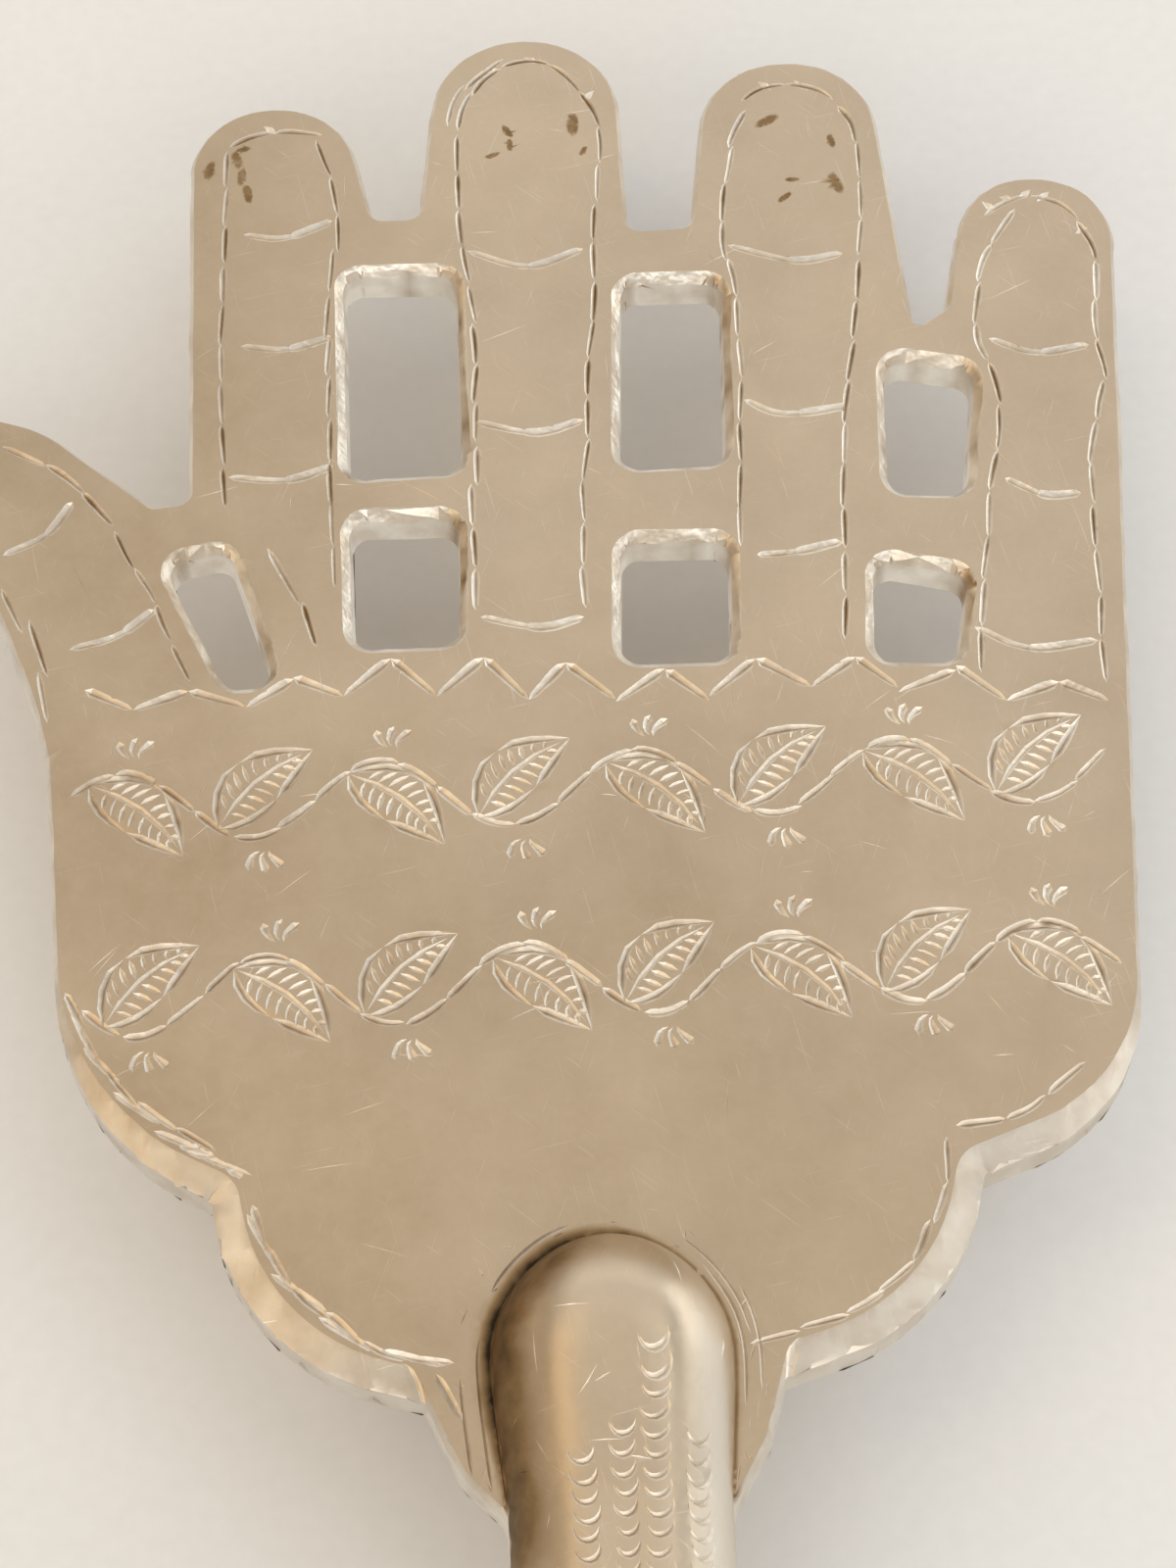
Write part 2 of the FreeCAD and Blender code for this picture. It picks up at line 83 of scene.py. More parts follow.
print(f"foot of the hand at y {FOOT_Y:.2f} mm, face at z {FACE_Z:.2f} mm")

# %% [markdown]
# ## The camera
# The photograph was taken from close by, leaning back from the fingertips towards the handle. A
# real lens is described by its distance and its focal length together: from near, the foot of the
# hand looks larger than the fingertips. Setting both from measured corners keeps that perspective.

# %% Place the camera
FRAME_HEIGHT = 1600         # the longer side of the frame, in pixels
LENS_PIXELS = 3200          # focal length, in the same pixels
PIXELS_PER_MM = 34.5        # at the middle of the view
SENSOR = 36.0               # the longer side of the sensor, in its own mm
CAMERA_TILT = math.radians(26.0)
CAMERA_TURN = math.radians(-3.0)
CAMERA_ROLL = math.radians(-3.25)
AIM = on_face(0.225, 21.297)

towards_camera = Vector((math.sin(CAMERA_TURN) * math.sin(CAMERA_TILT),
                         -math.cos(CAMERA_TURN) * math.sin(CAMERA_TILT),
                         math.cos(CAMERA_TILT)))
right = Vector((0, 1, 0)).cross(towards_camera).normalized()
up = towards_camera.cross(right)
rolled_right = right * math.cos(CAMERA_ROLL) + up * math.sin(CAMERA_ROLL)
rolled_up = up * math.cos(CAMERA_ROLL) - right * math.sin(CAMERA_ROLL)
camera_data = bpy.data.cameras.new("camera")
camera_data.sensor_width = SENSOR
camera_data.lens = LENS_PIXELS * SENSOR / FRAME_HEIGHT
camera_data.clip_start = 1 * MM
camera = bpy.data.objects.new("camera", camera_data)
camera_place = AIM + towards_camera * (LENS_PIXELS / PIXELS_PER_MM * MM)
camera_axes = Matrix((rolled_right, rolled_up, towards_camera)).transposed().to_4x4()
camera.matrix_world = Matrix.Translation(camera_place) @ camera_axes
bpy.context.scene.collection.objects.link(camera)
bpy.context.scene.camera = camera
print("camera at", [round(value / MM, 1) for value in camera_place], "mm")

# %% [markdown]
# ## Silver, as a set of nodes
# Old silver is a metal with a warm colour, a soft sheen and a skin of hair-fine scratches. All
# finishes here are one recipe with different amounts. Cloudy noise varies the colour and the
# sheen, and thin stretched noise in several directions makes the scratches. Two values painted on
# the meshes say where the metal is not plain. The first turns the bottoms of cuts brown and then
# black. It also carries painted shade: a painted shadow round the stem, painted shade on the stem's
# flanks, a painted warm reflection on the window walls and a golden tint on the left lobes that is
# partly patina and partly painted reflection. Below zero it is a painted highlight. The second, one
# value for each face, whitens what the graver or the file has laid bare, and on the walls of the
# windows it is also a painted highlight.

# %% Helpers for building node trees
def add_node(tree, kind, **values):
    """Adds a shader node and sets its plain inputs by name."""
    node = tree.nodes.new(kind)
    for name, value in values.items():
        node.inputs[name.replace("_", " ")].default_value = value
    return node


def band(tree, source, low, high, to_low, to_high):
    """Stretches the part of a value between low and high to a new range."""
    node = tree.nodes.new("ShaderNodeMapRange")
    for name, value in (("From Min", low), ("From Max", high), ("To Min", to_low),
                        ("To Max", to_high)):
        node.inputs[name].default_value = value
    tree.links.new(source, node.inputs["Value"])
    return node.outputs["Result"]


def combine(tree, operation, first, second):
    """Joins two values, or a value and a number, with one operation."""
    node = tree.nodes.new("ShaderNodeMath")
    node.operation = operation
    for socket, value in zip(node.inputs, (first, second)):
        if isinstance(value, float):
            socket.default_value = value
        else:
            tree.links.new(value, socket)
    return node.outputs["Value"]


# %% Helpers for mixing and for relief
def mix_colour(tree, share, first, second):
    """Blends two colours by a value."""
    node = tree.nodes.new("ShaderNodeMix")
    node.data_type = "RGBA"
    tree.links.new(share, node.inputs["Factor"])
    for socket, value in ((node.inputs["A"], first), (node.inputs["B"], second)):
        if isinstance(value, tuple):
            socket.default_value = (*value, 1.0)
        else:
            tree.links.new(value, socket)
    return node.outputs["Result"]


def painted(tree, name):
    """A value that is painted on the mesh."""
    node = tree.nodes.new("ShaderNodeAttribute")
    node.attribute_name = name
    return node.outputs["Fac"]


def relief(tree, height, depth_mm, below=None, sunk=False):
    """Raises or sinks the surface by a value, on top of the relief below it."""
    node = add_node(tree, "ShaderNodeBump", Strength=1.0, Distance=depth_mm * MM)
    node.invert = sunk
    tree.links.new(height, node.inputs["Height"])
    if below is not None:
        tree.links.new(below, node.inputs["Normal"])
    return node.outputs["Normal"]


def mix_shaders(tree, share, first, second, output):
    """Blends two shaders by a value and hands the result to the tree's output node."""
    both = tree.nodes.new("ShaderNodeMixShader")
    for source, socket in ((share, both.inputs["Fac"]), (first, both.inputs[1]),
                           (second, both.inputs[2])):
        tree.links.new(source, socket)
    tree.links.new(both.outputs["Shader"], tree.nodes[output].inputs["Surface"])


# %% Noise and scratches
def cloud(tree, place, scale, detail=3.0):
    """Soft random patches about 1 / scale metres across."""
    node = add_node(tree, "ShaderNodeTexNoise", Scale=scale, Detail=detail)
    tree.links.new(place, node.inputs["Vector"])
    return node.outputs["Fac"]


def scratches(tree, place, angle, length_mm, width_mm, rarity):
    """Thin lines in one direction: noise that is stretched until only streaks are left."""
    turned = tree.nodes.new("ShaderNodeMapping")
    turned.vector_type = "TEXTURE"
    turned.inputs["Rotation"].default_value = (0.0, 0.0, math.radians(angle))
    turned.inputs["Scale"].default_value = (length_mm * MM, width_mm * MM, length_mm * MM)
    tree.links.new(place, turned.inputs["Vector"])
    streaks = cloud(tree, turned.outputs["Vector"], 1.0, 1.0)
    return band(tree, streaks, rarity, rarity + 0.05, 0.0, 1.0)


# %% Colours and amounts of the silver
# Fresh silver is the colour of bare metal and also of the painted highlights.
FRESH_SILVER_AND_HIGHLIGHT = (0.97, 0.91, 0.80)
BROWN_SILVER = (0.300, 0.195, 0.095)
BLACK_SILVER = (0.040, 0.027, 0.016)
# Noise in the colour, as scale, detail and share: broad patches, dapples and fine grain.
MOTTLING = ((150.0, 3.0, 0.5), (520.0, 3.0, 0.35), (4200.0, 2.0, 0.15))
# Scratches, as degrees, length and width in millimetres, and rarity.
HAIRLINES = ((12.0, 2.2, 0.040, 0.735), (68.0, 1.5, 0.036, 0.735), (-41.0, 1.8, 0.044, 0.73),
             (-78.0, 2.6, 0.038, 0.735))
HAIRLINE_SHINE = 0.3
BARE_SCALE, DIRT_SCALE, TEETH_SCALE = 900.0, 1500.0, 3400.0
TEETH_START = 0.65          # the polish from which the teeth of the file show
TEETH_DEPTH, GRAIN_DEPTH = 0.035, 0.004         # in millimetres
SHEEN_CHANGE, DIRT_ROUGHNESS = 0.04, 0.25
print(len(MOTTLING), "layers of noise and", len(HAIRLINES), "directions of scratches")


# %% The silver recipe
def silver(name, bright, dull, roughness, scratch_depth):
    """A worn silver finish."""
    material = bpy.data.materials.new(name)
    material.use_nodes = True
    tree = material.node_tree
    surface = tree.nodes["Principled BSDF"]
    surface.inputs["Metallic"].default_value = 1.0
    place = tree.nodes.new("ShaderNodeTexCoord").outputs["Object"]

    clouds = [cloud(tree, place, scale, detail) for scale, detail, _ in MOTTLING]
    patches, _, grain = clouds
    shade = 0.0
    for source, (_, _, share) in zip(clouds, MOTTLING):
        shade = combine(tree, "ADD", band(tree, source, 0.3, 0.7, 0.0, share), shade)
    colour = mix_colour(tree, shade, dull, bright)

    lines = 0.0
    for hairline in HAIRLINES:
        lines = combine(tree, "MAXIMUM", scratches(tree, place, *hairline), lines)
    shine = combine(tree, "MULTIPLY", lines, HAIRLINE_SHINE)
    colour = mix_colour(tree, shine, colour, FRESH_SILVER_AND_HIGHLIGHT)

    stored = painted(tree, "tarnish_and_shade")
    bare_and_highlight = painted(tree, "polish_and_highlight")
    # Below zero the first painted value is a painted highlight, such as the bright right flank of the
    # stem.
    painted_highlight = band(tree, stored, -1.0, 0.0, 1.0, 0.0)
    uneven = band(tree, cloud(tree, place, BARE_SCALE), 0.32, 0.62, 0.5, 1.0)
    fresh_and_highlight = combine(tree, "MAXIMUM", combine(tree, "MULTIPLY", bare_and_highlight, uneven), painted_highlight)
    colour = mix_colour(tree, fresh_and_highlight, colour, FRESH_SILVER_AND_HIGHLIGHT)

    # The painted shade in that value darkens to brown and then black, the same way tarnish does.
    broken = band(tree, cloud(tree, place, DIRT_SCALE), 0.25, 0.7, 0.75, 1.1)
    tarnish_and_shade = combine(tree, "MULTIPLY", stored, broken)
    colour = mix_colour(tree, band(tree, tarnish_and_shade, 0.0, 0.5, 0.0, 1.0), colour, BROWN_SILVER)
    colour = mix_colour(tree, band(tree, tarnish_and_shade, 0.5, 1.0, 0.0, 1.0), colour, BLACK_SILVER)
    tree.links.new(colour, surface.inputs["Base Color"])

    sheen = band(tree, patches, 0.3, 0.7, roughness - SHEEN_CHANGE, roughness + SHEEN_CHANGE)
    sheen = combine(tree, "ADD", sheen, band(tree, tarnish_and_shade, 0.0, 1.0, 0.0, DIRT_ROUGHNESS))
    tree.links.new(sheen, surface.inputs["Roughness"])

    teeth = band(tree, bare_and_highlight, TEETH_START, 1.0, 0.0, 1.0)
    teeth = combine(tree, "MULTIPLY", teeth, cloud(tree, place, TEETH_SCALE, 1.0))
    normal = relief(tree, lines, scratch_depth, sunk=True)
    normal = relief(tree, grain, GRAIN_DEPTH, normal)
    normal = relief(tree, teeth, TEETH_DEPTH, normal)
    tree.links.new(normal, surface.inputs["Normal"])
    return material


# %% Mix the four finishes
engraved_silver = silver("engraved_silver", (0.640, 0.516, 0.375), (0.532, 0.420, 0.295), 0.40,
                         0.003)
forged_silver = silver("forged_silver", (0.680, 0.556, 0.410), (0.580, 0.465, 0.330), 0.40, 0.002)
handle_silver = silver("handle_silver", (0.680, 0.565, 0.430), (0.570, 0.468, 0.345), 0.30, 0.003)
wire_silver = silver("wire_silver", (0.680, 0.565, 0.425), (0.570, 0.462, 0.330), 0.32, 0.002)
print("finishes:", [m.name for m in (engraved_silver, forged_silver, handle_silver, wire_silver)])

# %% [markdown]
# ## Cuts of the graver
# A graver ploughs a V-shaped groove. Bump maps only pretend such grooves, and from close by it
# shows, so here every cut is real. A cut is a line along its bottom and a width at each point of
# that line. The sheet is then divided into triangles that follow both banks and the bottom of
# every cut, and each corner is lowered to its depth. Flat sides come out flat, with sharp edges.

# %% A cut and its depth
class Cut:
    """One groove: its bottom line in millimetres, half widths along it and how steep it is."""

    def __init__(self, line, half_widths, slope=0.62, tarnish_and_shade=0.3, polish_and_highlight=0.9):
        self.line = np.array(line, float)
        self.half = np.array(half_widths, float)
        self.slope = slope
        self.tarnish_and_shade = tarnish_and_shade
        self.polish_and_highlight = polish_and_highlight

    def banks(self):
        """The closed outline of the cut, from one end round to the other and back."""
        ahead = np.gradient(self.line, axis=0)
        ahead /= np.linalg.norm(ahead, axis=1)[:, None]
        side = np.stack([-ahead[:, 1], ahead[:, 0]], axis=1) * self.half[:, None]
        left = self.line + side
        right = self.line - side
        inner = slice(1, -1)
        return np.concatenate([self.line[:1], left[inner], self.line[-1:], right[inner][::-1]])

    def inside(self, points):
        """How far inside its bank each point lies, in millimetres, or zero outside."""
        best = np.zeros(len(points))
        for start, end, wide, narrow in zip(self.line, self.line[1:], self.half, self.half[1:]):
            run = end - start
            share = np.clip((points - start) @ run / (run @ run), 0, 1)
            away = np.linalg.norm(points - start - share[:, None] * run, axis=1)
            best = np.maximum(best, wide + (narrow - wide) * share - away)
        return best


def spaced(line, count):
    """Points at even distances along a line, and the length of the line."""
    steps = np.concatenate([[0], np.cumsum(np.linalg.norm(np.diff(line, axis=0), axis=1))])
    at = np.linspace(0, steps[-1], count)
    return np.stack([np.interp(at, steps, line[:, i]) for i in (0, 1)], axis=1), steps[-1]


def stroke(line, half_width, shape=(0.0, 0.9, 1.0, 0.8, 0.0), slope=0.62, tarnish_and_shade=0.3, polish_and_highlight=0.9):
    """A cut along a line, with its width following a shape from start to end."""
    points = spaced(np.array(line, float), len(shape))[0]
    return Cut(points, np.array(shape) * half_width, slope, tarnish_and_shade, polish_and_highlight)


# %% Divide a sheet along its cuts
def within(points, borders):
    """Whether each point is inside the outer border and outside the holes."""
    points = np.atleast_2d(np.array(points, float))
    starts = np.concatenate([np.array(border, float) for border in borders])
    ends = np.concatenate([np.roll(np.array(border, float), -1, axis=0) for border in borders])
    rise = ends[:, 1] - starts[:, 1]
    lean = (ends[:, 0] - starts[:, 0]) / np.where(rise == 0, 1, rise)
    inside = []
    for block in np.array_split(points, len(points) // 1000 + 1):
        x, y = block[:, :1], block[:, 1:]
        level = (y < starts[:, 1]) != (y < ends[:, 1])
        crossing = starts[:, 0] + (y - starts[:, 1]) * lean
        inside.append((level & (x < crossing)).sum(axis=1) % 2 == 1)
    return np.concatenate(inside)


def engrave(borders, cuts, fill):
    """Triangles that follow the borders and cuts, with the depth and tarnish of every corner
    and the polish of every triangle."""
    points = []
    edges = []

    def add_chain(chain, closed):
        first = len(points)
        points.extend(chain)
        edges.extend((first + i, first + i + 1) for i in range(len(chain) - 1))
        if closed:
            edges.append((first + len(chain) - 1, first))

    for border in borders:
        add_chain(border, True)
    for cut in cuts:
        add_chain(cut.banks(), True)
        add_chain(cut.line, False)
    points.extend(fill)
    corners, _, triangles, _, _, _ = delaunay_2d_cdt([Vector(p) for p in points], edges, [], 0,
                                                     1e-6)
    corners = np.array([tuple(c) for c in corners])
    triangles = np.array(triangles)
    triangles = triangles[within(corners[triangles].mean(axis=1), borders)]
    middles = corners[triangles].mean(axis=1)
    depth = np.zeros(len(corners))
    tarnish_and_shade = np.zeros(len(corners))
    polish_and_highlight = np.zeros(len(triangles))
    for cut in cuts:
        reach = cut.half.max()
        low, high = cut.line.min(axis=0) - reach, cut.line.max(axis=0) + reach
        near = np.all((corners > low) & (corners < high), axis=1)
        inside = cut.inside(corners[near])
        depth[near] = np.maximum(depth[near], inside * cut.slope)
        tarnish_and_shade[near] = np.maximum(tarnish_and_shade[near], cut.tarnish_and_shade * np.clip(inside / reach, 0, 1))
        near = np.all((middles > low) & (middles < high), axis=1)
        cut_away = cut.inside(middles[near]) > 0.1 * reach
        polish_and_highlight[near] = np.maximum(polish_and_highlight[near], cut.polish_and_highlight * cut_away)
    return corners, triangles.tolist(), depth, tarnish_and_shade, polish_and_highlight


# %% [markdown]
# ## What is engraved on the hand
# Each finger is outlined with short dashes, one push of the graver each, and has curved knuckle
# lines. A zigzag closes the fingers off from the palm, and lines follow the lobes at the foot.
# Lists of a few corners give each line its course, and helpers break it into single cuts. Small
# seeded differences in length, width and direction keep the hand of the maker in it.

# %% Helpers that break a course into cuts
graver = random.Random(7)
CUT = 0.12                  # half width of a plain cut
DASH = 1.55                 # length of one push of the graver
DASH_STEPS = 6
DASH_SHAPE = (0.0, 0.85, 1.0, 1.0, 0.95, 0.9, 0.85, 0.75, 0.0)
LONG_SHAPE = (0.0, 0.8, 0.95, 1.0, 1.0, 1.0, 1.0, 0.95, 0.9, 0.9, 0.8, 0.0)
SCUFF_SHAPE = (0.0, 1.0, 0.0)


def along(course, count):
    """Evenly spaced points on a smooth curve through the corners of a course, and its length."""
    course = [np.array(p, float) for p in course]
    ends = [2 * course[0] - course[1]] + course + [2 * course[-1] - course[-2]]
    dense = []
    for a, b, c, d in zip(ends, ends[1:], ends[2:], ends[3:]):
        for t in np.linspace(0, 1, 12, endpoint=False):
            dense.append(0.5 * (2 * b + (c - a) * t + (2 * a - 5 * b + 4 * c - d) * t ** 2
                                + (3 * b - a - 3 * c + d) * t ** 3))
    dense.append(course[-1])
    return spaced(np.array(dense), count)


def dashes(course, half_width=CUT, dash=DASH, tarnish_and_shade=0.6):
    """A row of short cuts along a course."""
    count = max(1, round(along(course, 2)[1] / dash))
    line = along(course, count * DASH_STEPS + 1)[0]
    cuts = []
    for i in range(count):
        part = line[i * DASH_STEPS:(i + 1) * DASH_STEPS + 1].copy()
        way = (part[-1] - part[0]) / np.linalg.norm(part[-1] - part[0])
        across = np.array([-way[1], way[0]])
        lean = graver.uniform(-0.05, 0.05)
        bend = np.linspace(-lean, lean, DASH_STEPS + 1)[:, None]
        part += across * (bend + graver.uniform(-0.03, 0.03))
        part += way * graver.uniform(-0.05, 0.05)
        part = part[0] + (part - part[0]) * graver.uniform(0.98, 1.12)
        cuts.append(stroke(part, half_width * graver.uniform(0.75, 1.05), DASH_SHAPE,
                           tarnish_and_shade=tarnish_and_shade * graver.uniform(0.5, 1.2)))
    return cuts


def knuckle(left, middle, right):
    """Two cuts that meet in a shallow curve across a finger."""
    line = along((left, middle, right), 13)[0]
    meet = graver.choice((6, 7, 8))
    return [stroke(line[:meet + 1], CUT * 1.05, LONG_SHAPE, 0.55, 0.25, 1.0),
            stroke(line[meet - 1:], CUT * 1.4, LONG_SHAPE, 0.55, 0.25, 1.0)]


def scuff(xs, ys, lengths, half_widths, polish_and_highlight):
    """One straight scratch, somewhere in an area of the sheet and in any direction."""
    x, y = graver.uniform(*xs), graver.uniform(*ys)
    way, length = graver.uniform(0, math.pi), graver.uniform(*lengths)
    end = (x + length * math.cos(way), y + length * math.sin(way))
    return stroke(((x, y), end), graver.uniform(*half_widths), SCUFF_SHAPE, 0.8, 0.1, polish_and_highlight)


# %% The courses of fingers, thumb and zigzag
FINGERS = (
    {"courses": (((-10.4, 45.0), (-10.6, 36.7), (-10.5, 31.4)),
                 ((-10.3, 45.1), (-9.6, 45.5), (-8.6, 45.7), (-7.4, 45.45)),
                 ((-7.5, 45.3), (-7.25, 44.3), (-7.0, 43.3), (-6.8, 40.3), (-7.15, 36.0), (-7.2, 31.3),
                  (-7.1, 28.3)),
                 ((-9.2, 29.8), (-8.2, 27.9)), ((-8.15, 27.9), (-7.7, 26.3))),
     "knuckles": (((-9.9, 41.6), (-8.6, 41.4), (-7.0, 42.0)),
                  ((-10.0, 37.3), (-8.6, 37.1), (-7.1, 37.5)),
                  ((-10.4, 32.45), (-8.6, 32.25), (-7.1, 32.7)))},
    {"courses": (((-2.86, 45.3), (-2.86, 40.6), (-2.55, 37.2), (-2.8, 34.4), (-2.9, 30.5),
                  (-3.0, 27.3)),
                 ((-2.85, 45.4), (-2.6, 46.4), (-1.9, 47.5), (-0.8, 48.1), (0.1, 48.05),
                  (0.9, 47.4), (1.6, 46.2), (1.8, 45.0), (1.75, 43.9)),
                 ((-3.2, 45.6), (-2.9, 46.6), (-2.3, 47.4), (-1.3, 48.25)),
                 ((1.7, 43.8), (1.45, 41.3), (1.3, 38.3), (1.0, 36.0), (0.85, 33.6), (0.6, 31.3),
                  (0.45, 27.3))),
     "knuckles": (((-2.7, 40.6), (-0.8, 39.9), (1.05, 40.5)),
                  ((-2.7, 34.1), (-0.8, 33.6), (0.75, 34.0)),
                  ((-2.75, 27.1), (-0.95, 26.65), (0.4, 26.95)))},
    {"courses": (((6.7, 45.8), (6.2, 44.7), (5.95, 43.4), (5.7, 42.2), (5.55, 40.6), (5.8, 39.1),
                  (5.85, 36.7), (5.8, 35.2), (5.6, 32.8), (5.4, 30.5), (5.3, 29.2)),
                 ((6.6, 46.1), (7.2, 46.6), (8.1, 46.8), (9.1, 46.5), (9.6, 46.0)),
                 ((9.7, 45.8), (10.15, 44.9), (10.2, 42.5), (10.0, 40.3), (9.7, 38.1), (9.3, 35.8),
                  (9.05, 34.4), (8.75, 32.1), (8.6, 30.0), (8.45, 28.1), (8.3, 25.8))),
     "knuckles": (((5.7, 40.4), (7.8, 39.7), (9.4, 39.9)),
                  ((5.8, 34.5), (7.0, 33.9), (9.15, 34.1)),
                  ((5.8, 28.85), (7.0, 28.9), (8.45, 29.2)))},
    {"courses": (((15.15, 41.4), (14.4, 40.3), (13.9, 39.4), (13.6, 38.1), (13.4, 36.4),
                  (13.75, 35.1), (13.75, 33.1), (13.3, 31.2), (12.8, 28.4), (12.5, 26.5),
                  (12.2, 24.5)),
                 ((14.1, 41.2), (14.8, 41.6), (15.6, 41.8), (16.55, 41.5), (17.05, 40.9)),
                 ((17.1, 40.8), (17.5, 39.7), (17.4, 38.3), (17.2, 36.7), (17.3, 34.85),
                  (16.9, 33.6), (16.4, 31.2), (16.2, 27.6), (15.95, 23.9))),
     "knuckles": (((13.75, 36.4), (15.15, 35.8), (16.9, 36.0)),
                  ((13.7, 31.2), (14.85, 30.55), (16.0, 30.55)),
                  ((12.2, 26.0), (13.75, 25.2), (15.9, 25.35)))},
    {"courses": (((-17.5, 33.9), (-15.7, 32.9), (-13.95, 31.0)),
                 ((-13.9, 30.7), (-13.4, 29.5), (-12.7, 28.3), (-12.3, 27.1), (-11.5, 25.3)),
                 ((-17.3, 28.9), (-16.7, 27.3)), ((-16.4, 27.7), (-15.85, 25.6)),
                 ((-16.2, 25.9), (-15.9, 24.3))),
     "knuckles": (((-17.3, 30.0), (-16.0, 30.65), (-15.2, 31.8)),
                  ((-15.2, 26.6), (-13.75, 27.0), (-12.65, 27.85)))},
)
ZIGZAG = ((-14.7, 25.2), (-13.25, 24.45), (-11.6, 25.0), (-9.9, 24.4), (-8.45, 25.3),
          (-6.95, 24.6), (-5.5, 25.8), (-4.15, 24.45), (-2.7, 25.7), (-1.4, 24.2), (-0.25, 25.4),
          (1.2, 24.1), (2.75, 25.15), (4.0, 24.05), (5.5, 25.25), (7.1, 24.2), (8.5, 25.15),
          (9.7, 24.05), (11.5, 24.7), (12.9, 23.45), (14.55, 24.0), (15.95, 23.3))
TIP_NICKS = ((-9.0, 45.75), (-1.6, 47.85), (-0.3, 48.2), (1.5, 46.6), (7.4, 46.75), (8.6, 46.7),
             (14.3, 41.5), (14.9, 41.8), (15.5, 41.9), (16.1, 41.8), (17.2, 40.4))
print(len(FINGERS), "fingers,", len(ZIGZAG) - 1, "strokes in the zigzag,", len(TIP_NICKS), "nicks")

# %% Cut the fingers and the zigzag
UP_WEDGE = (0.0, 0.7, 0.8, 0.9, 1.0, 1.1, 1.15, 1.0, 0.0)
DOWN_WEDGE = (0.0, 1.1, 1.0, 0.95, 0.9, 0.85, 0.8, 0.7, 0.0)
NICK_REACH = 0.22

hand_cuts = []
for finger in FINGERS:
    for course in finger["courses"]:
        hand_cuts += dashes(course)
    for points in finger["knuckles"]:
        hand_cuts += knuckle(*points)
for low, high in zip(ZIGZAG, ZIGZAG[1:]):
    wedge = DOWN_WEDGE if high[1] < low[1] else UP_WEDGE
    hand_cuts.append(stroke((low, high), CUT * graver.uniform(1.15, 1.35), wedge, tarnish_and_shade=0.35))
for x, y in TIP_NICKS:
    lean = graver.uniform(-0.25, 0.25)
    hand_cuts.append(stroke(((x - NICK_REACH, y - lean), (x + NICK_REACH, y + lean)), CUT * 1.1,
                            (0.0, 0.5, 1.0, 0.6, 0.0), slope=0.45, tarnish_and_shade=0.0, polish_and_highlight=1.0))
print(len(hand_cuts), "cuts for the fingers and the zigzag")

# %% Lines along the lobes, scuffs and stains
LOBES = (
    ((-15.1, 15.4), (-14.3, 13.6), (-13.0, 12.0), (-10.8, 10.45)),
    ((-11.8, 10.3), (-10.0, 9.6)),
    ((-9.8, 8.75), (-9.25, 7.3), (-8.5, 6.2), (-7.5, 5.4), (-6.3, 4.45), (-4.4, 4.0)),
    ((-4.8, 3.7), (-4.1, 2.4)),
    ((10.0, 10.1), (11.35, 10.3), (12.3, 10.6), (12.9, 11.1), (13.8, 11.8)),
    ((10.1, 9.6), (9.9, 8.2), (9.3, 6.8), (8.7, 5.9), (7.3, 4.9), (5.7, 4.4), (4.1, 4.05)),
)
# Black marks at the fingertips, as a place, a size and a direction in degrees.
STAINS = ((-10.1, 44.6, 0.42, 100), (-9.95, 43.9, 0.40, 80), (-9.75, 43.2, 0.42, 95),
          (-1.2, 45.3, 0.34, 120), (-1.15, 44.75, 0.30, 90), (-1.75, 44.35, 0.28, 20),
          (0.95, 45.5, 0.52, 88), (1.25, 44.4, 0.24, 60), (7.35, 45.3, 0.46, 30),
          (9.4, 44.4, 0.32, 100), (9.4, 42.7, 0.50, 110), (8.0, 42.9, 0.26, 0),
          (7.7, 42.2, 0.30, 40), (-11.0, 44.2, 0.44, 75), (-9.9, 45.0, 0.28, 10))
for course in LOBES:
    hand_cuts += dashes(course, CUT * 1.05, 1.3, 0.4)
for course in LOBES[:3]:
    beside = along(course, 5)[0] + np.array([-0.22, -0.20])
    for start, end in zip(beside, beside[1:]):
        lean = graver.uniform(-0.12, 0.12)
        hand_cuts.append(stroke((start + lean, end - lean), 0.12, DASH_SHAPE, tarnish_and_shade=0.2,
                                polish_and_highlight=1.0))
hand_cuts += [scuff((-15, 17), (5, 47), (0.4, 1.8), (0.014, 0.026), 0.5) for i in range(120)]
print(len(hand_cuts), "cuts with lobes and scratches, and", len(STAINS), "stains")

# %% [markdown]
# ## An ornament for the palm
# The palm carries two bands of hatched engraving. Here they hold a plain running vine with
# hatched leaves, an ornament that fits any such piece. One leaf is two curved sides, a rib and
# slanting hatches, so a function cuts a leaf of any length at any place and angle, and a wave
# carries them along the band, one on each side in turn.

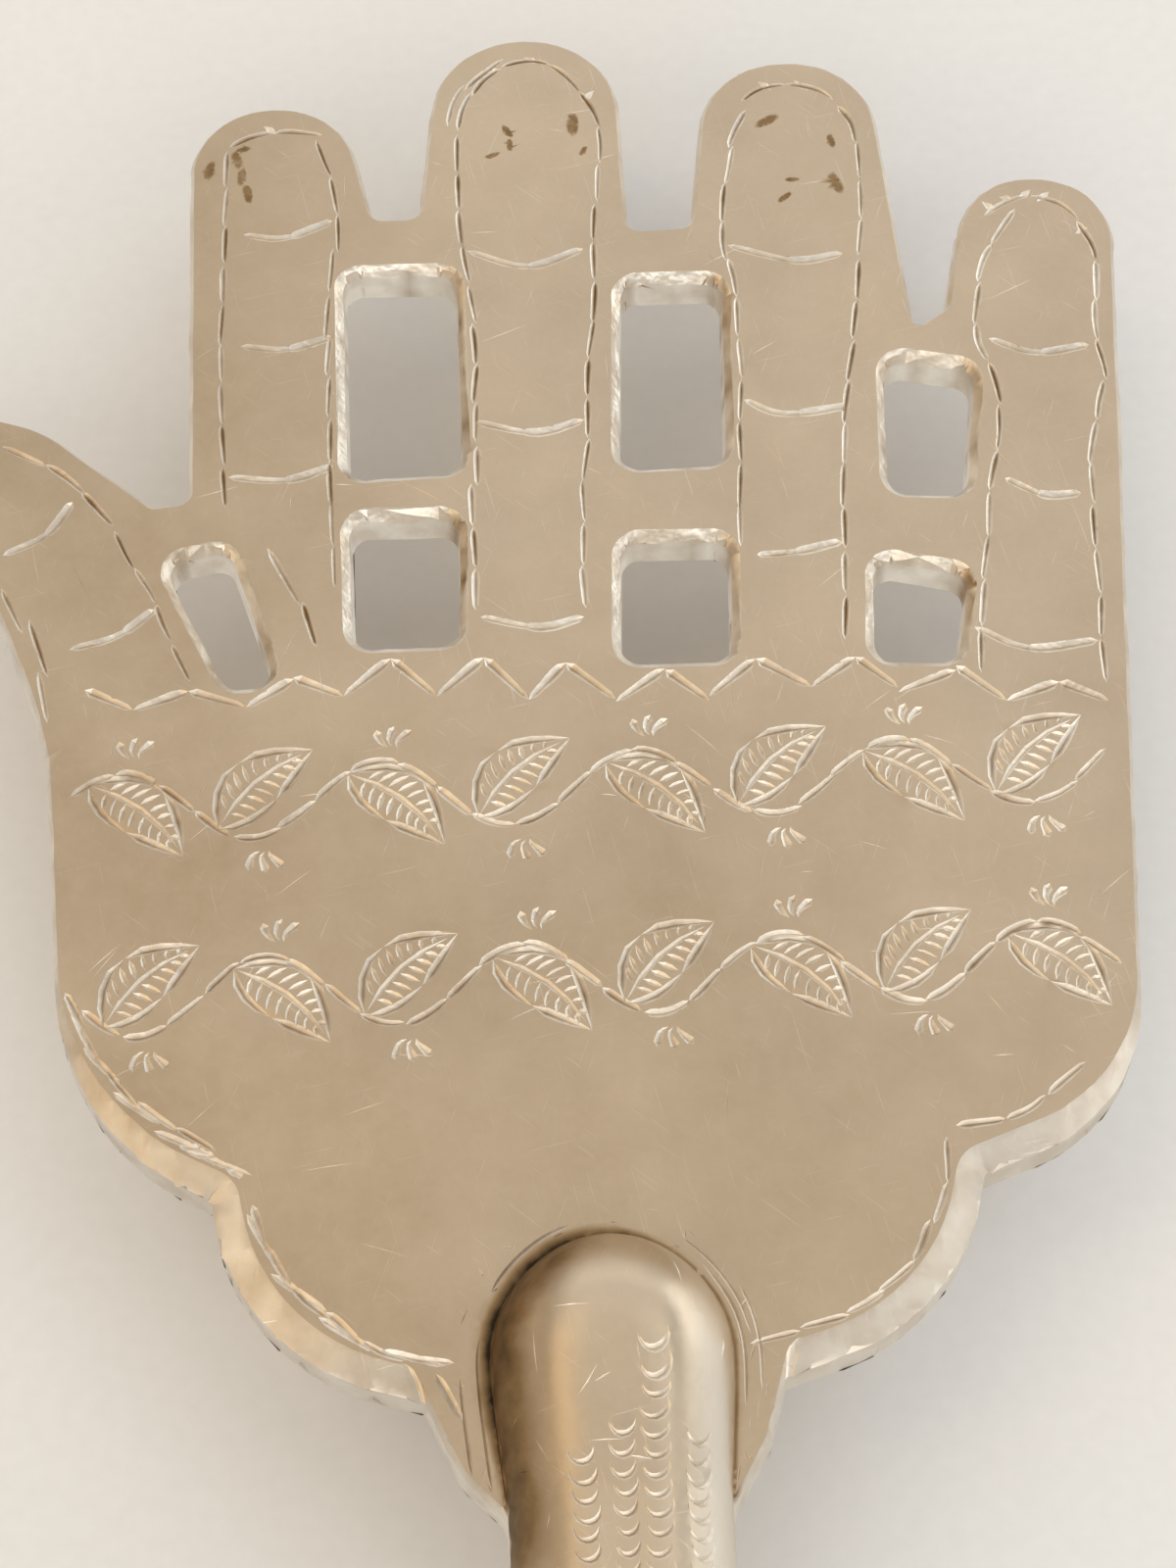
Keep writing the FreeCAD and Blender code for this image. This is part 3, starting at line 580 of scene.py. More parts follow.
# %% Cut a leaf
def leaf_cuts(base, angle, length, breadth, hatch_step=0.34):
    """A pointed leaf with hatching on both sides of its rib."""
    ahead = np.array([math.cos(angle), math.sin(angle)])
    aside = np.array([-ahead[1], ahead[0]])
    base = np.array(base)

    def edge(share, side):
        swell = math.sin(math.pi * share ** 0.8)
        curl = 0.10 * length * math.sin(math.pi * share)
        return base + ahead * length * share + aside * (side * breadth * swell + curl)

    cuts = []
    for side in (-1, 1):
        rim = [edge(t, side) for t in np.linspace(0, 1, 9)]
        cuts.append(stroke(rim[:5], CUT * 1.15, (0.0, 0.9, 1.0, 0.8, 0.3), tarnish_and_shade=0.4))
        cuts.append(stroke(rim[4:], CUT * 1.2, (0.3, 1.0, 1.0, 0.7, 0.0), tarnish_and_shade=0.4))
    cuts.append(stroke([edge(t, 0) for t in np.linspace(0.02, 0.92, 6)], CUT * 0.8, tarnish_and_shade=0.2))
    share = 0.16
    while share < 0.86:
        for side in (-1, 1):
            start = edge(share, 0.12 * side)
            end = edge(share + 0.07, 0.86 * side)
            cuts.append(stroke((start, end), 0.085 * graver.uniform(0.8, 1.15), (0.0, 1.0, 0.9, 0.0),
                               slope=0.75, tarnish_and_shade=0.15))
        share += hatch_step / length * graver.uniform(0.9, 1.1)
    return cuts


# %% Run the vine along the two bands
def vine_cuts(x_from, x_to, y_middle, waves, swing, phase):
    """A wavy stem with a leaf and a bud in every bend."""
    wave_length = (x_to - x_from) / waves
    turn_rate = 2 * math.pi / wave_length

    def at(x):
        return np.array([x, y_middle + swing * math.sin(turn_rate * (x - x_from) + phase)])

    cuts = dashes([at(x) for x in np.linspace(x_from, x_to, 10 * waves)], CUT * 1.2, 1.4, 0.45)
    half = wave_length / 2
    first = x_from + (math.pi / 2 - phase) / turn_rate
    for i in range(-1, 2 * waves + 1):
        crest = first + i * half
        if not x_from + 0.2 < crest < x_to - 1.2:
            continue
        side = 1 if i % 2 == 0 else -1
        root = at(crest - 0.25 * half)
        cuts += leaf_cuts(root, -side * 0.72, 0.98 * half, 0.86)
        bud = at(crest + 0.1 * half) + np.array([0.0, side * 0.3])
        for reach in (-0.45, 0.1, 0.6):
            tip = bud + np.array([reach, side * (0.95 - 0.3 * abs(reach))])
            bow = (bud + tip) / 2 + np.array([-0.12, 0.05])
            cuts.append(stroke(along((bud + 0.25 * (tip - bud), bow, tip), 7)[0],
                               CUT * 0.95, (0.0, 0.5, 0.8, 1.0, 1.2, 0.0), tarnish_and_shade=0.2))
    return cuts


ornament = vine_cuts(-15.0, 15.6, 21.2, 4, 1.15, 0.4)
ornament += vine_cuts(-14.6, 15.2, 15.1, 4, 1.15, 3.4)
hand_cuts += ornament
print(len(ornament), "cuts for the vine,", len(hand_cuts), "in all")

# %% [markdown]
# ## The forged stem
# The stem was hammered to eight soft facets, rounded off at the end like a bullet, and slotted
# for the plate. One rule gives its skin: of the facets and the round nose, the one nearest to the
# axis wins, with a soft change between them. The plate needs it first, because a painted shadow
# darkens the corner where the stem's skin meets the plate's face.

# %% The form of the stem
STEM_LENGTH = 22.0          # from its shoulder to the foot of the hand
SHOULDER_Y = FOOT_Y - STEM_LENGTH
FOOT_WIDTH, NECK_WIDTH, DOME_WIDTH = 5.4, 6.1, 6.9      # at its foot, hand and nose
HEIGHT_SHARE = 0.86         # height over width
CORNER_SHARE = 0.24         # how much of the corners the facets take off
NOSE_START = 2.7
NOSE_LENGTH = 4.85
NOSE_SHEET = 5.6            # length of the nose on the unrolled sheet
NOSE_RADIUS = DOME_WIDTH / 2 * 1.08
UNROLL = 3.0                # sheet millimetres per radian round the stem
HALF_TURN = math.pi * UNROLL
SOFTNESS = 16               # higher is crisper between facets


def stem_width(y):
    """The stem's width at a distance from the foot of the hand."""
    if y < 0:
        return NECK_WIDTH + (FOOT_WIDTH - NECK_WIDTH) * -y / STEM_LENGTH
    return NECK_WIDTH + 2 * (DOME_WIDTH - NECK_WIDTH) * y / (NOSE_START + NOSE_LENGTH)


def stem_point(u, v, sink=0.0):
    """Rolls the sheet up: u runs round the stem from its top line, v along it."""
    angle = u / UNROLL
    y = v
    nose = NOSE_RADIUS
    if v > NOSE_START:
        bend = min(1.0, (v - NOSE_START) / NOSE_SHEET) * math.pi / 2
        y = NOSE_START + NOSE_LENGTH * math.sin(bend)
        nose = NOSE_RADIUS * math.cos(bend)
    if nose < 1e-6:
        return Vector((0, FOOT_Y + y, AXIS_Z))
    half_width = stem_width(y) / 2
    half_height = half_width * HEIGHT_SHARE
    across, upward = abs(math.sin(angle)), abs(math.cos(angle))
    limits = (across / half_width, upward / half_height,
              (across + upward) / (half_width + half_height - CORNER_SHARE * 2 * half_width),
              1 / nose)
    radius = sum(limit ** SOFTNESS for limit in limits) ** (-1 / SOFTNESS) - sink
    return Vector((radius * math.sin(angle), FOOT_Y + y, AXIS_Z + radius * math.cos(angle)))


print(f"stem is {stem_width(0):.1f} mm wide at the hand")

# %% Where the stem meets the face
left_side = []
for v in np.linspace(-1.4, NOSE_START + NOSE_SHEET, 50):
    for u in np.linspace(0.0, -HALF_TURN, 200):
        point = stem_point(u, v)
        if point.z < FACE_Z:
            if u < 0.0:
                left_side.append((point.x, point.y - FOOT_Y))
            break
seam = along(left_side[::3] + [(-x, y) for x, y in left_side[::-3]], 90)[0]
print(f"the stem covers the face up to y {seam[:, 1].max():.2f} mm")

# %% [markdown]
# ## The sawn plate
# The plate was sawn from sheet and its edges filed by hand, so no edge is quite straight. Its
# solid is right in outline, so its own faces are the start. They are first cut along a fine grid
# to give the edges enough corners. These then move in, by up to a sixth of a millimetre on the
# walls and less at the edges of the face and the back, and the feet of the bevels that face the
# handle sink unevenly. The flat top is taken out, and the engraved sheet is set in its place on
# exactly the same corners.

# %% Helpers for soft changes from place to place
def clamp(value):
    """The value itself between 0 and 1, and the nearer of the two outside."""
    return min(1.0, max(0.0, value))


def fade(gap, reach):
    """From 1 at a line down to 0 at its reach."""
    return max(0.0, 1.0 - gap / reach)


def wander(x, y, size, seed=0.0):
    """Smooth noise between 0 and 1 over the sheet, with patches of a size in millimetres."""
    return 0.5 + 0.5 * noise.noise(Vector((x / size, y / size, seed)))


# %% Copy the plate and cut it along a grid
GRID = 0.5                  # spacing of the corners along straight edges
WALL_LEVELS = (-0.6, -0.95)     # heights at which the walls get corners of their own

plate = bmesh.new()
plate.from_mesh(frame["nodes"]["hand_plate"].data)
bmesh.ops.scale(plate, vec=(1 / MM, 1 / MM, 1 / MM), verts=plate.verts)
bmesh.ops.translate(plate, vec=(0, -FOOT_Y, -FACE_Z), verts=plate.verts)
bmesh.ops.remove_doubles(plate, verts=plate.verts, dist=1e-4)
low = Vector([min(v.co[i] for v in plate.verts) for i in range(3)])
high = Vector([max(v.co[i] for v in plate.verts) for i in range(3)])
planes = [(axis, low[axis] + i * GRID) for axis in (0, 1)
          for i in range(1, int((high[axis] - low[axis]) / GRID) + 1)]
for axis, at in planes + [(2, level) for level in WALL_LEVELS]:
    normal = Vector([1.0 if i == axis else 0.0 for i in range(3)])
    everything = plate.verts[:] + plate.edges[:] + plate.faces[:]
    bmesh.ops.bisect_plane(plate, geom=everything, dist=1e-5, plane_co=normal * at, plane_no=normal)
plate.normal_update()
print("plate has", len(plate.verts), "corners")

# %% File the edges
FILING = 0.05               # how far the file strayed at the edges of the back
EDGE_STRAY, WALL_STRAY = 1.8, 3.2       # times further at the face and on the walls
BEVEL_FOOT = -0.3           # height of the lower edges of the bevels
BEVEL_SINK = 0.26           # how far those that face the handle may sink

moves = {}
for vertex in plate.verts:
    flat = Vector((0, 0, 0))
    for face in vertex.link_faces:
        if abs(face.normal.z) < 0.95:
            flat += Vector((face.normal.x, face.normal.y, 0)) * face.calc_area()
    if flat.length > 0:
        x, y, z = vertex.co
        stray = FILING * (0.5 * wander(x, y, 1.4) + 0.5 * wander(x, y, 0.5, 3.0))
        stray *= EDGE_STRAY if z > -0.02 else WALL_STRAY if z > -1.0 else 1.0
        moves[vertex] = -flat.normalized() * stray
        if flat.y < -0.7 * flat.length and abs(z - BEVEL_FOOT) < 0.02:
            moves[vertex] += Vector((0, 0, -BEVEL_SINK * wander(x, y, 0.6, 8.0)))
for vertex, move in moves.items():
    vertex.co += move
print(len(moves), "corners are on filed edges")

# %% Find the edge loops of the flat top
TOP_BAND = 1e-3
top_faces = [f for f in plate.faces if all(v.co.z > -TOP_BAND for v in f.verts)]
bmesh.ops.delete(plate, geom=top_faces, context="FACES")
rim_edges = dict.fromkeys(e for e in plate.edges if len(e.link_faces) == 1)
rims = []
while rim_edges:
    edge = next(iter(rim_edges))
    del rim_edges[edge]
    loop = [edge.verts[0], edge.verts[1]]
    while True:
        following = [e for e in loop[-1].link_edges if e in rim_edges]
        if not following:
            break
        del rim_edges[following[0]]
        loop.append(following[0].other_vert(loop[-1]))
    rims.append([(v.co.x, v.co.y) for v in loop[:-1]])
print(len(rims), "edge loops round the flat top, of", [len(rim) for rim in rims], "corners")

# %% Marks of the file and scraper round the stem
outwards = np.stack([np.gradient(-seam[:, 1]), np.gradient(seam[:, 0])], axis=1)
outwards /= -np.linalg.norm(outwards, axis=1)[:, None]
outwards *= np.sign((outwards * (seam - (0.0, 2.5))).sum(axis=1))[:, None]
# Ridges beside the seam: first and last of its points, and the distance from it.
RIDGES = ((8, 26, 0.32), (4, 20, 0.55), (10, 22, 0.80), (56, 74, 0.28), (52, 66, 0.50),
          (60, 72, 0.72), (30, 42, 0.45))
for first, last, gap in RIDGES:
    ridge = (seam + outwards * gap)[first:last]
    hand_cuts.append(stroke(ridge, 0.065, LONG_SHAPE, 0.7, 0.25, 0.7))
for i in range(26):
    k = graver.randrange(4, 86)
    start = seam[k] + outwards[k] * graver.uniform(0.2, 1.1)
    along_it = np.array([-outwards[k][1], outwards[k][0]])
    lean = along_it * graver.uniform(-0.9, 0.9) + outwards[k] * graver.uniform(-0.2, 0.4)
    hand_cuts.append(stroke((start, start + lean * graver.uniform(0.5, 1.2)),
                            graver.uniform(0.02, 0.04), (0.0, 1.0, 0.6, 0.0), 0.7, 0.2, 0.5))
print(len(hand_cuts), "cuts with those round the stem")

# %% Keep every cut on the face
FURTHEST_PUSH, PUSH_STEP = 0.8, 0.05
CUT_MARGIN = 0.06           # metal left between a cut and the edge
rim_starts = np.array([p for rim in rims for p in rim])
rim_ends = np.array([p for rim in rims for p in rim[1:] + rim[:1]])


def nearest_on_rims(point):
    """The nearest place on any edge of the flat top."""
    runs = rim_ends - rim_starts
    shares = np.clip(((point - rim_starts) * runs).sum(axis=1) / (runs ** 2).sum(axis=1), 0, 1)
    places = rim_starts + shares[:, None] * runs
    return places[np.argmin(np.hypot(*(places - point).T))]


def kept_on_face(cut):
    """Moves a cut away from the nearest edge until it lies wholly on the face."""
    middle = cut.line[len(cut.line) // 2]
    way = middle - nearest_on_rims(middle)
    way = way / max(np.linalg.norm(way), 1e-6) * (1 if within(middle, rims)[0] else -1)
    for push in np.arange(0, FURTHEST_PUSH, PUSH_STEP):
        moved = Cut(cut.line + push * way, cut.half, cut.slope, cut.tarnish_and_shade, cut.polish_and_highlight)
        if within(Cut(moved.line, moved.half + CUT_MARGIN).banks(), rims).all():
            return [moved]
    return []


face_cuts = [kept for cut in hand_cuts for kept in kept_on_face(cut)]
print(len(hand_cuts) - len(face_cuts), "cuts had no room on the face")

# %% Engrave the sheet
FILL_CORNER, FILL_SIZE = (-19.5, -2), (38, 52)      # the area of the loose corners
FILL_STEP, FILL_JITTER = 0.55, 0.12     # their spacing, and how far it varies
SEAM_LINES = (-0.1, 0.03, 0.12, 0.22, 0.36, 0.6, 0.9, 1.2)      # corners beside the seam
STAIN_BREADTH = 0.42        # breadth of a stain over its length


def stain_reach(at_x, size, turn):
    """How far a stain reaches in a direction, which makes its edge ragged."""
    return size * (0.7 + 0.6 * wander(3 * math.cos(turn), 3 * math.sin(turn), 1.2, at_x))


fill = []
for i in range(int(FILL_SIZE[0] / FILL_STEP)):
    for j in range(int(FILL_SIZE[1] / FILL_STEP)):
        x = FILL_CORNER[0] + FILL_STEP * i + graver.uniform(-FILL_JITTER, FILL_JITTER)
        y = FILL_CORNER[1] + FILL_STEP * j + graver.uniform(-FILL_JITTER, FILL_JITTER)
        fill.append((x, y))
for away in SEAM_LINES:
    fill += [tuple(point) for point in seam + outwards * away]
for x, y, size, degrees in STAINS:
    lean = math.radians(degrees)
    for share in (0.0, 0.35, 0.7, 1.0):
        for k in range(12):
            turn = 2 * math.pi * k / 12 + share
            reach = stain_reach(x, share * size, turn)
            long, short = reach * math.cos(turn), STAIN_BREADTH * reach * math.sin(turn)
            fill.append((x + long * math.cos(lean) - short * math.sin(lean),
                         y + long * math.sin(lean) + short * math.cos(lean)))
fill = [point for point, inside in zip(fill, within(fill, rims)) if inside]
corners, triangles, depth, tarnish_and_shade, polish_and_highlight = engrave(rims, face_cuts, fill)
print(len(face_cuts), "cuts set into", len(triangles), "triangles")

# %% Where the hand is dark
windows = [(np.min(rim, axis=0), np.max(rim, axis=0)) for rim in sorted(rims, key=len)[:-1]]


def gap_to(line, x, y):
    """The distance from a place to the nearest corner of a line."""
    return np.min(np.hypot(line[:, 0] - x, line[:, 1] - y))


def window_tint_and_reflection(x, y):
    """A mottled brown on the walls of a window, and a painted warm reflection on their right sides."""
    for first, last in windows:
        if np.all((x, y) > first) and np.all((x, y) < last):
            rightness = (2 * x - first[0] - last[0]) / (last[0] - first[0])
            return (0.05 + 0.55 * max(0.0, rightness - 0.5)
                    + 0.9 * max(0.0, wander(x, y, 0.7, 5.0) - 0.55))
    return 0.0


def seam_shadow(x, y):
    """Painted shadow in the corner round the stem: a broad dark patch at the upper left, a thin line
    right.
    """
    gap = gap_to(seam, x, y)
    leftness = clamp((1.6 - x) / 3.0) * clamp((y - 0.5) / 2.0)
    line = (0.7 + 0.4 * leftness) * fade(gap, 0.16 + 0.30 * leftness)
    return max(line, 0.16 * leftness * fade(gap, 1.3))


def stain(x, y):
    """Long small marks of black at the fingertips, with ragged edges."""
    darkest = 0.0
    for at_x, at_y, size, degrees in STAINS:
        lean = math.radians(degrees)
        long = (x - at_x) * math.cos(lean) + (y - at_y) * math.sin(lean)
        short = ((y - at_y) * math.cos(lean) - (x - at_x) * math.sin(lean)) / STAIN_BREADTH
        if math.hypot(long, short) < 0.75 * stain_reach(at_x, size, math.atan2(short, long)):
            darkest = max(darkest, 0.40 + 0.3 * wander(x, y, 0.2, 7.0))
    return darkest


def film(x, y):
    """A thin brown film over the lower palm and the side of the thumb, thinner on the right."""
    palm = clamp((30.0 - y) / 14.0)
    thumb_side = clamp((-3.0 - x) / 8.0) * (1.0 - 0.7 * palm)
    brown = (0.11 * palm + 0.13 * thumb_side) * (0.4 + 1.2 * wander(x, y, 4.5, 4.0))
    return brown - 0.05 * clamp((x - 6.0) / 8.0)


print("dirt on the walls of", len(windows), "windows")

# %% Give the filed sides their polish, dirt, painted highlights and painted reflections
FILED_POLISH = 0.6
tarnish_and_shade_layer = plate.verts.layers.float.new("tarnish_and_shade")
polish_and_highlight_layer = plate.faces.layers.float.new("polish_and_highlight")
for face in plate.faces:
    is_back = all(v.co.z < low.z + 0.01 for v in face.verts)
    centre = face.calc_center_median()
    in_window = any(np.all(centre[:2] > first) and np.all(centre[:2] < last)
                    for first, last in windows)
    # Filed faces are whitened as bare metal. The walls of the windows are whitened fully, which there
    # is partly a painted highlight.
    face[polish_and_highlight_layer] = 0.0 if is_back else 1.0 if in_window else FILED_POLISH
for vertex in plate.verts:
    x, y = vertex.co.x, vertex.co.y
    # The walls of the windows get a mottled brown and a painted warm reflection on their right sides.
    vertex[tarnish_and_shade_layer] = window_tint_and_reflection(x, y)
    # The left lobes get a golden tint, partly patina and partly a painted warm reflection.
    if x < -3.5 and y < 16:
        vertex[tarnish_and_shade_layer] = 0.14 * wander(x, y, 1.2, 6.0)
print("painted", len(plate.faces), "faces of the sides and the back")

# %% Join the engraved top to the filed sides
SAG = 0.02                  # how far the face is from flat
WELD = 0.003                # corners that are nearer than this become one
old = {(round(v.co.x, 4), round(v.co.y, 4)): v for v in plate.verts if v.co.z > -TOP_BAND}
new_verts = []
for (x, y), sink, dark in zip(corners, depth, tarnish_and_shade):
    vertex = old.get((round(x, 4), round(y, 4)))
    if vertex is None:
        sag = SAG * wander(x, y, 6.0, 9.0) * min(1.0, gap_to(rim_starts, x, y) / 1.5)
        vertex = plate.verts.new((x, y, -sink - sag))
    # Each corner takes the darkest of the dark of the cuts, the painted shadow round the stem, the
    # brown film and the stains.
    vertex[tarnish_and_shade_layer] = max(dark, seam_shadow(x, y), film(x, y), stain(x, y))
    new_verts.append(vertex)
for triangle, shine in zip(triangles, polish_and_highlight):
    if len({new_verts[i] for i in triangle}) == 3:
        try:
            face = plate.faces.new([new_verts[i] for i in triangle])
            face[polish_and_highlight_layer] = shine
        except ValueError:
            pass
for vertex in [v for v in plate.verts if not v.link_faces]:
    plate.verts.remove(vertex)
bmesh.ops.remove_doubles(plate, verts=plate.verts, dist=WELD)
bmesh.ops.holes_fill(plate, edges=[e for e in plate.edges if len(e.link_faces) == 1])
bmesh.ops.recalc_face_normals(plate, faces=plate.faces)
open_edges = sum(1 for e in plate.edges if len(e.link_faces) != 2)
print("engraved plate:", len(plate.faces), "faces,", open_edges, "open edges")

# %% Turn the plate into a piece
def to_mesh(shape, name):
    """Writes a bmesh in millimetres to a mesh in metres."""
    bmesh.ops.scale(shape, vec=(MM, MM, MM), verts=shape.verts)
    mesh = bpy.data.meshes.new(name)
    shape.to_mesh(mesh)
    shape.free()
    return mesh


def finished_piece(name, mesh, material, body, nodes, sharp_degrees=14.0):
    """Turns a mesh in place into a shaded piece that rides on its body."""
    shape = bmesh.new()
    shape.from_mesh(mesh)
    for face in shape.faces:
        face.smooth = True
    for edge in shape.edges:
        edge.smooth = edge.is_manifold and edge.calc_face_angle() < math.radians(sharp_degrees)
    shape.to_mesh(mesh)
    shape.free()
    mesh.materials.clear()
    mesh.materials.append(material)
    piece = bpy.data.objects.new(name, mesh)
    bpy.context.scene.collection.objects.link(piece)
    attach(piece, body)
    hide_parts(*nodes)
    return piece


bmesh.ops.translate(plate, vec=(0, FOOT_Y, FACE_Z), verts=plate.verts)
engraved_hand = finished_piece("engraved_hand", to_mesh(plate, "engraved_hand"),
                               engraved_silver, "pointer", ["hand_plate"])
print(engraved_hand.name, "has", len(engraved_hand.data.polygons), "faces")

# %% [markdown]
# ## Punch marks on the stem
# Rows of a crescent punch run down the upper side of the stem. Its skin can be unrolled to a flat
# sheet, so the same cutting helper serves: the marks are laid out on the sheet, and the sheet is
# then rolled round the axis. The right flank gets a painted highlight, and the left one a brown that
# is partly patina and partly painted shade, with painted shade where the stem meets the face. A box
# takes out the slot at the end.

# %% Lay out the punch marks
PUNCH_PITCH = 0.52
PUNCH_END = 1.2             # how far from the shoulder the rows end
PUNCH_RADIUS = 2.95         # distance of the rows from the stem's axis
# Rows of punch marks: distance across the stem, where the row starts, and size.
PUNCH_ROWS = ((-1.0, 1.0, 0.36), (0.12, 1.7, 0.36), (1.0, 3.7, 0.38), (2.05, 1.5, 0.44))


def punch_mark(u, v, size, lean):
    """A crescent that opens towards the hand, deeper on its right where the punch leaned."""
    turn = np.radians(np.linspace(175, 372, 9)) + lean
    line = np.stack([u + size * np.cos(turn), v + size * np.sin(turn)], axis=1)
    return stroke(line, 0.10, (0.0, 0.3, 0.5, 0.75, 1.0, 1.0, 0.85, 0.5, 0.0), 0.75, 0.3, 0.65)


stem_cuts = []
for x, start, size in PUNCH_ROWS:
    u = UNROLL * math.asin(x / PUNCH_RADIUS)
    v = start
    while v > -STEM_LENGTH + PUNCH_END:
        stem_cuts.append(punch_mark(u + graver.uniform(-0.04, 0.04), v,
                                    size * graver.uniform(0.92, 1.06), graver.uniform(-0.15, 0.15)))
        v -= PUNCH_PITCH * graver.uniform(0.93, 1.07)
stem_cuts += [scuff((-3.2, 3.2), (-20, 6), (0.3, 1.0), (0.015, 0.03), 0.9) for i in range(60)]
print(len(stem_cuts), "marks on the stem")

# %% Lay out the sheet of the stem
STEM_STEP = 0.42
COLUMNS = 46
sheet_end = NOSE_START + NOSE_SHEET
sheet_length = sheet_end + STEM_LENGTH
rows = round(sheet_length / STEM_STEP)
across = [-HALF_TURN + 2 * HALF_TURN * i / COLUMNS for i in range(COLUMNS)]
side = [-STEM_LENGTH + sheet_length * j / rows for j in range(rows)]
border = [(u, -STEM_LENGTH) for u in across] + [(HALF_TURN, v) for v in side]
border += [(HALF_TURN - 2 * HALF_TURN * i / COLUMNS, sheet_end) for i in range(COLUMNS)]
border += [(-HALF_TURN, v) for v in [sheet_end] + side[:0:-1]]
fill = [(-HALF_TURN + 2 * HALF_TURN * (i + 0.5 * (j % 2)) / COLUMNS, side[j])
        for j in range(1, rows) for i in range(1, COLUMNS)]
print(f"sheet of {2 * HALF_TURN:.1f} by {sheet_length:.1f} mm")

# %% Where the stem is dark
def stripe(u, low, high):
    """A soft stripe along the stem: 1 in its middle, 0 from its edges outwards."""
    return math.sin(math.pi * (u - low) / (high - low)) if low < u < high else 0.0


def stem_tarnish_and_shade(u, v, place, dark):
    """Painted shade where the stem meets the face, a painted highlight on the right flank and a brown
    left flank, partly patina and partly painted shade.
    """
    above_face = max(0.0, place.z - FACE_Z)
    near_plate = clamp(v + 2.2)
    if u < 0:
        x, y = place.x, place.y - FOOT_Y
        inwards = gap_to(seam, x, y) if above_face > 0 else 0.0
        leftness = clamp((0.4 - x) / 1.8) * near_plate
        # Painted shadow: a broad brown crescent on the upper left of the nose, and a dark line where
        # the stem meets the face.
        dark = max(dark, 0.52 * leftness * min(1.0, 1.7 * fade(inwards, 1.3)),
                   0.9 * near_plate * fade(above_face, 0.5))
    else:
        # Painted shade: a thin dark line where the right side meets the face.
        dark = max(dark, 0.4 * near_plate * fade(above_face, 0.4))
    # A light painted shade high on the left flank and a painted highlight on the right flank; the
    # brown low on the left is partly patina and partly painted shade.
    dark += 0.15 * stripe(u, -2.6, -0.9) - 0.55 * stripe(u, 2.0, 4.6)
    return dark + 0.42 * stripe(u, -4.8, -2.2) * wander(u, v, 1.5, 2.0)


# %% Engrave the sheet and roll it up
corners, triangles, depth, tarnish_and_shade, polish_and_highlight = engrave([border], stem_cuts, fill)
stem = bmesh.new()
tarnish_and_shade_layer = stem.verts.layers.float.new("tarnish_and_shade")
polish_and_highlight_layer = stem.faces.layers.float.new("polish_and_highlight")
rolled = []
for (u, v), sink, dark in zip(corners, depth, tarnish_and_shade):
    vertex = stem.verts.new(stem_point(u, v, sink))
    vertex[tarnish_and_shade_layer] = stem_tarnish_and_shade(u, v, vertex.co, dark)
    rolled.append(vertex)
for triangle, shine in zip(triangles, polish_and_highlight):
    face = stem.faces.new([rolled[i] for i in triangle])
    face[polish_and_highlight_layer] = shine
bmesh.ops.remove_doubles(stem, verts=stem.verts, dist=2e-4)
bmesh.ops.dissolve_degenerate(stem, edges=stem.edges, dist=1e-5)
bmesh.ops.holes_fill(stem, edges=[e for e in stem.edges if len(e.link_faces) == 1])
bmesh.ops.recalc_face_normals(stem, faces=stem.faces)
print("stem:", len(stem.faces), "faces,", sum(1 for e in stem.edges if len(e.link_faces) != 2),
      "open edges")

# %% Cut the slot and add the seat
SLOT_FLOOR = -TAIL_LENGTH   # the slot ends where the plate does
SEAT_RADIUS = 2.45          # the turned foot that stands in the collar
SLOT_WIDTH, SLOT_DEPTH = 12, 20     # of the box that cuts the slot, past the stem on all sides


def applied(piece):
    """The mesh of an object with its modifiers worked in."""
    shown = piece.evaluated_get(bpy.context.evaluated_depsgraph_get())
    return bpy.data.meshes.new_from_object(shown)


blank = bpy.data.objects.new("stem_blank", to_mesh(stem, "stem_blank"))
bpy.context.scene.collection.objects.link(blank)
slot_box = bmesh.new()
bmesh.ops.create_cube(slot_box, size=1.0)
bmesh.ops.scale(slot_box, vec=(SLOT_WIDTH, SLOT_DEPTH, FACE_Z - BACK_Z), verts=slot_box.verts)
slot_middle = (0, FOOT_Y + SLOT_FLOOR + SLOT_DEPTH / 2, (FACE_Z + BACK_Z) / 2)
bmesh.ops.translate(slot_box, vec=slot_middle, verts=slot_box.verts)
cutter = bpy.data.objects.new("slot_cutter", to_mesh(slot_box, "slot_cutter"))
bpy.context.scene.collection.objects.link(cutter)
slotting = blank.modifiers.new("slot", "BOOLEAN")
slotting.operation = "DIFFERENCE"
slotting.solver = "EXACT"
slotting.object = cutter
stem_mesh = applied(blank)
bpy.data.objects.remove(blank)
bpy.data.objects.remove(cutter)

stem = bmesh.new()
stem.from_mesh(stem_mesh)
seat_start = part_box("stem")[0].y
seat_length = SHOULDER_Y * MM - seat_start
seat_place = (Matrix.Translation((0, seat_start + seat_length / 2, AXIS_Z * MM))
              @ Matrix.Rotation(math.pi / 2, 4, "X"))
bmesh.ops.create_cone(stem, cap_ends=True, segments=48, radius1=SEAT_RADIUS * MM,
                      radius2=SEAT_RADIUS * MM, depth=seat_length, matrix=seat_place)
stem.to_mesh(stem_mesh)
stem.free()
punched_stem = finished_piece("punched_stem", stem_mesh, forged_silver,
                              "pointer", ["stem"], 24.0)
print(punched_stem.name, "has", len(punched_stem.data.polygons), "faces")

# %% [markdown]
# ## Twisted wire and the loose ring
# Rings of twisted wire are soldered over the joints. Twisted wire is two round strands wound
# round each other, and each strand is a tube swept along a coil that is bent to a circle. The
# loose ring is a plain round wire, which is the same sweep with no coil.

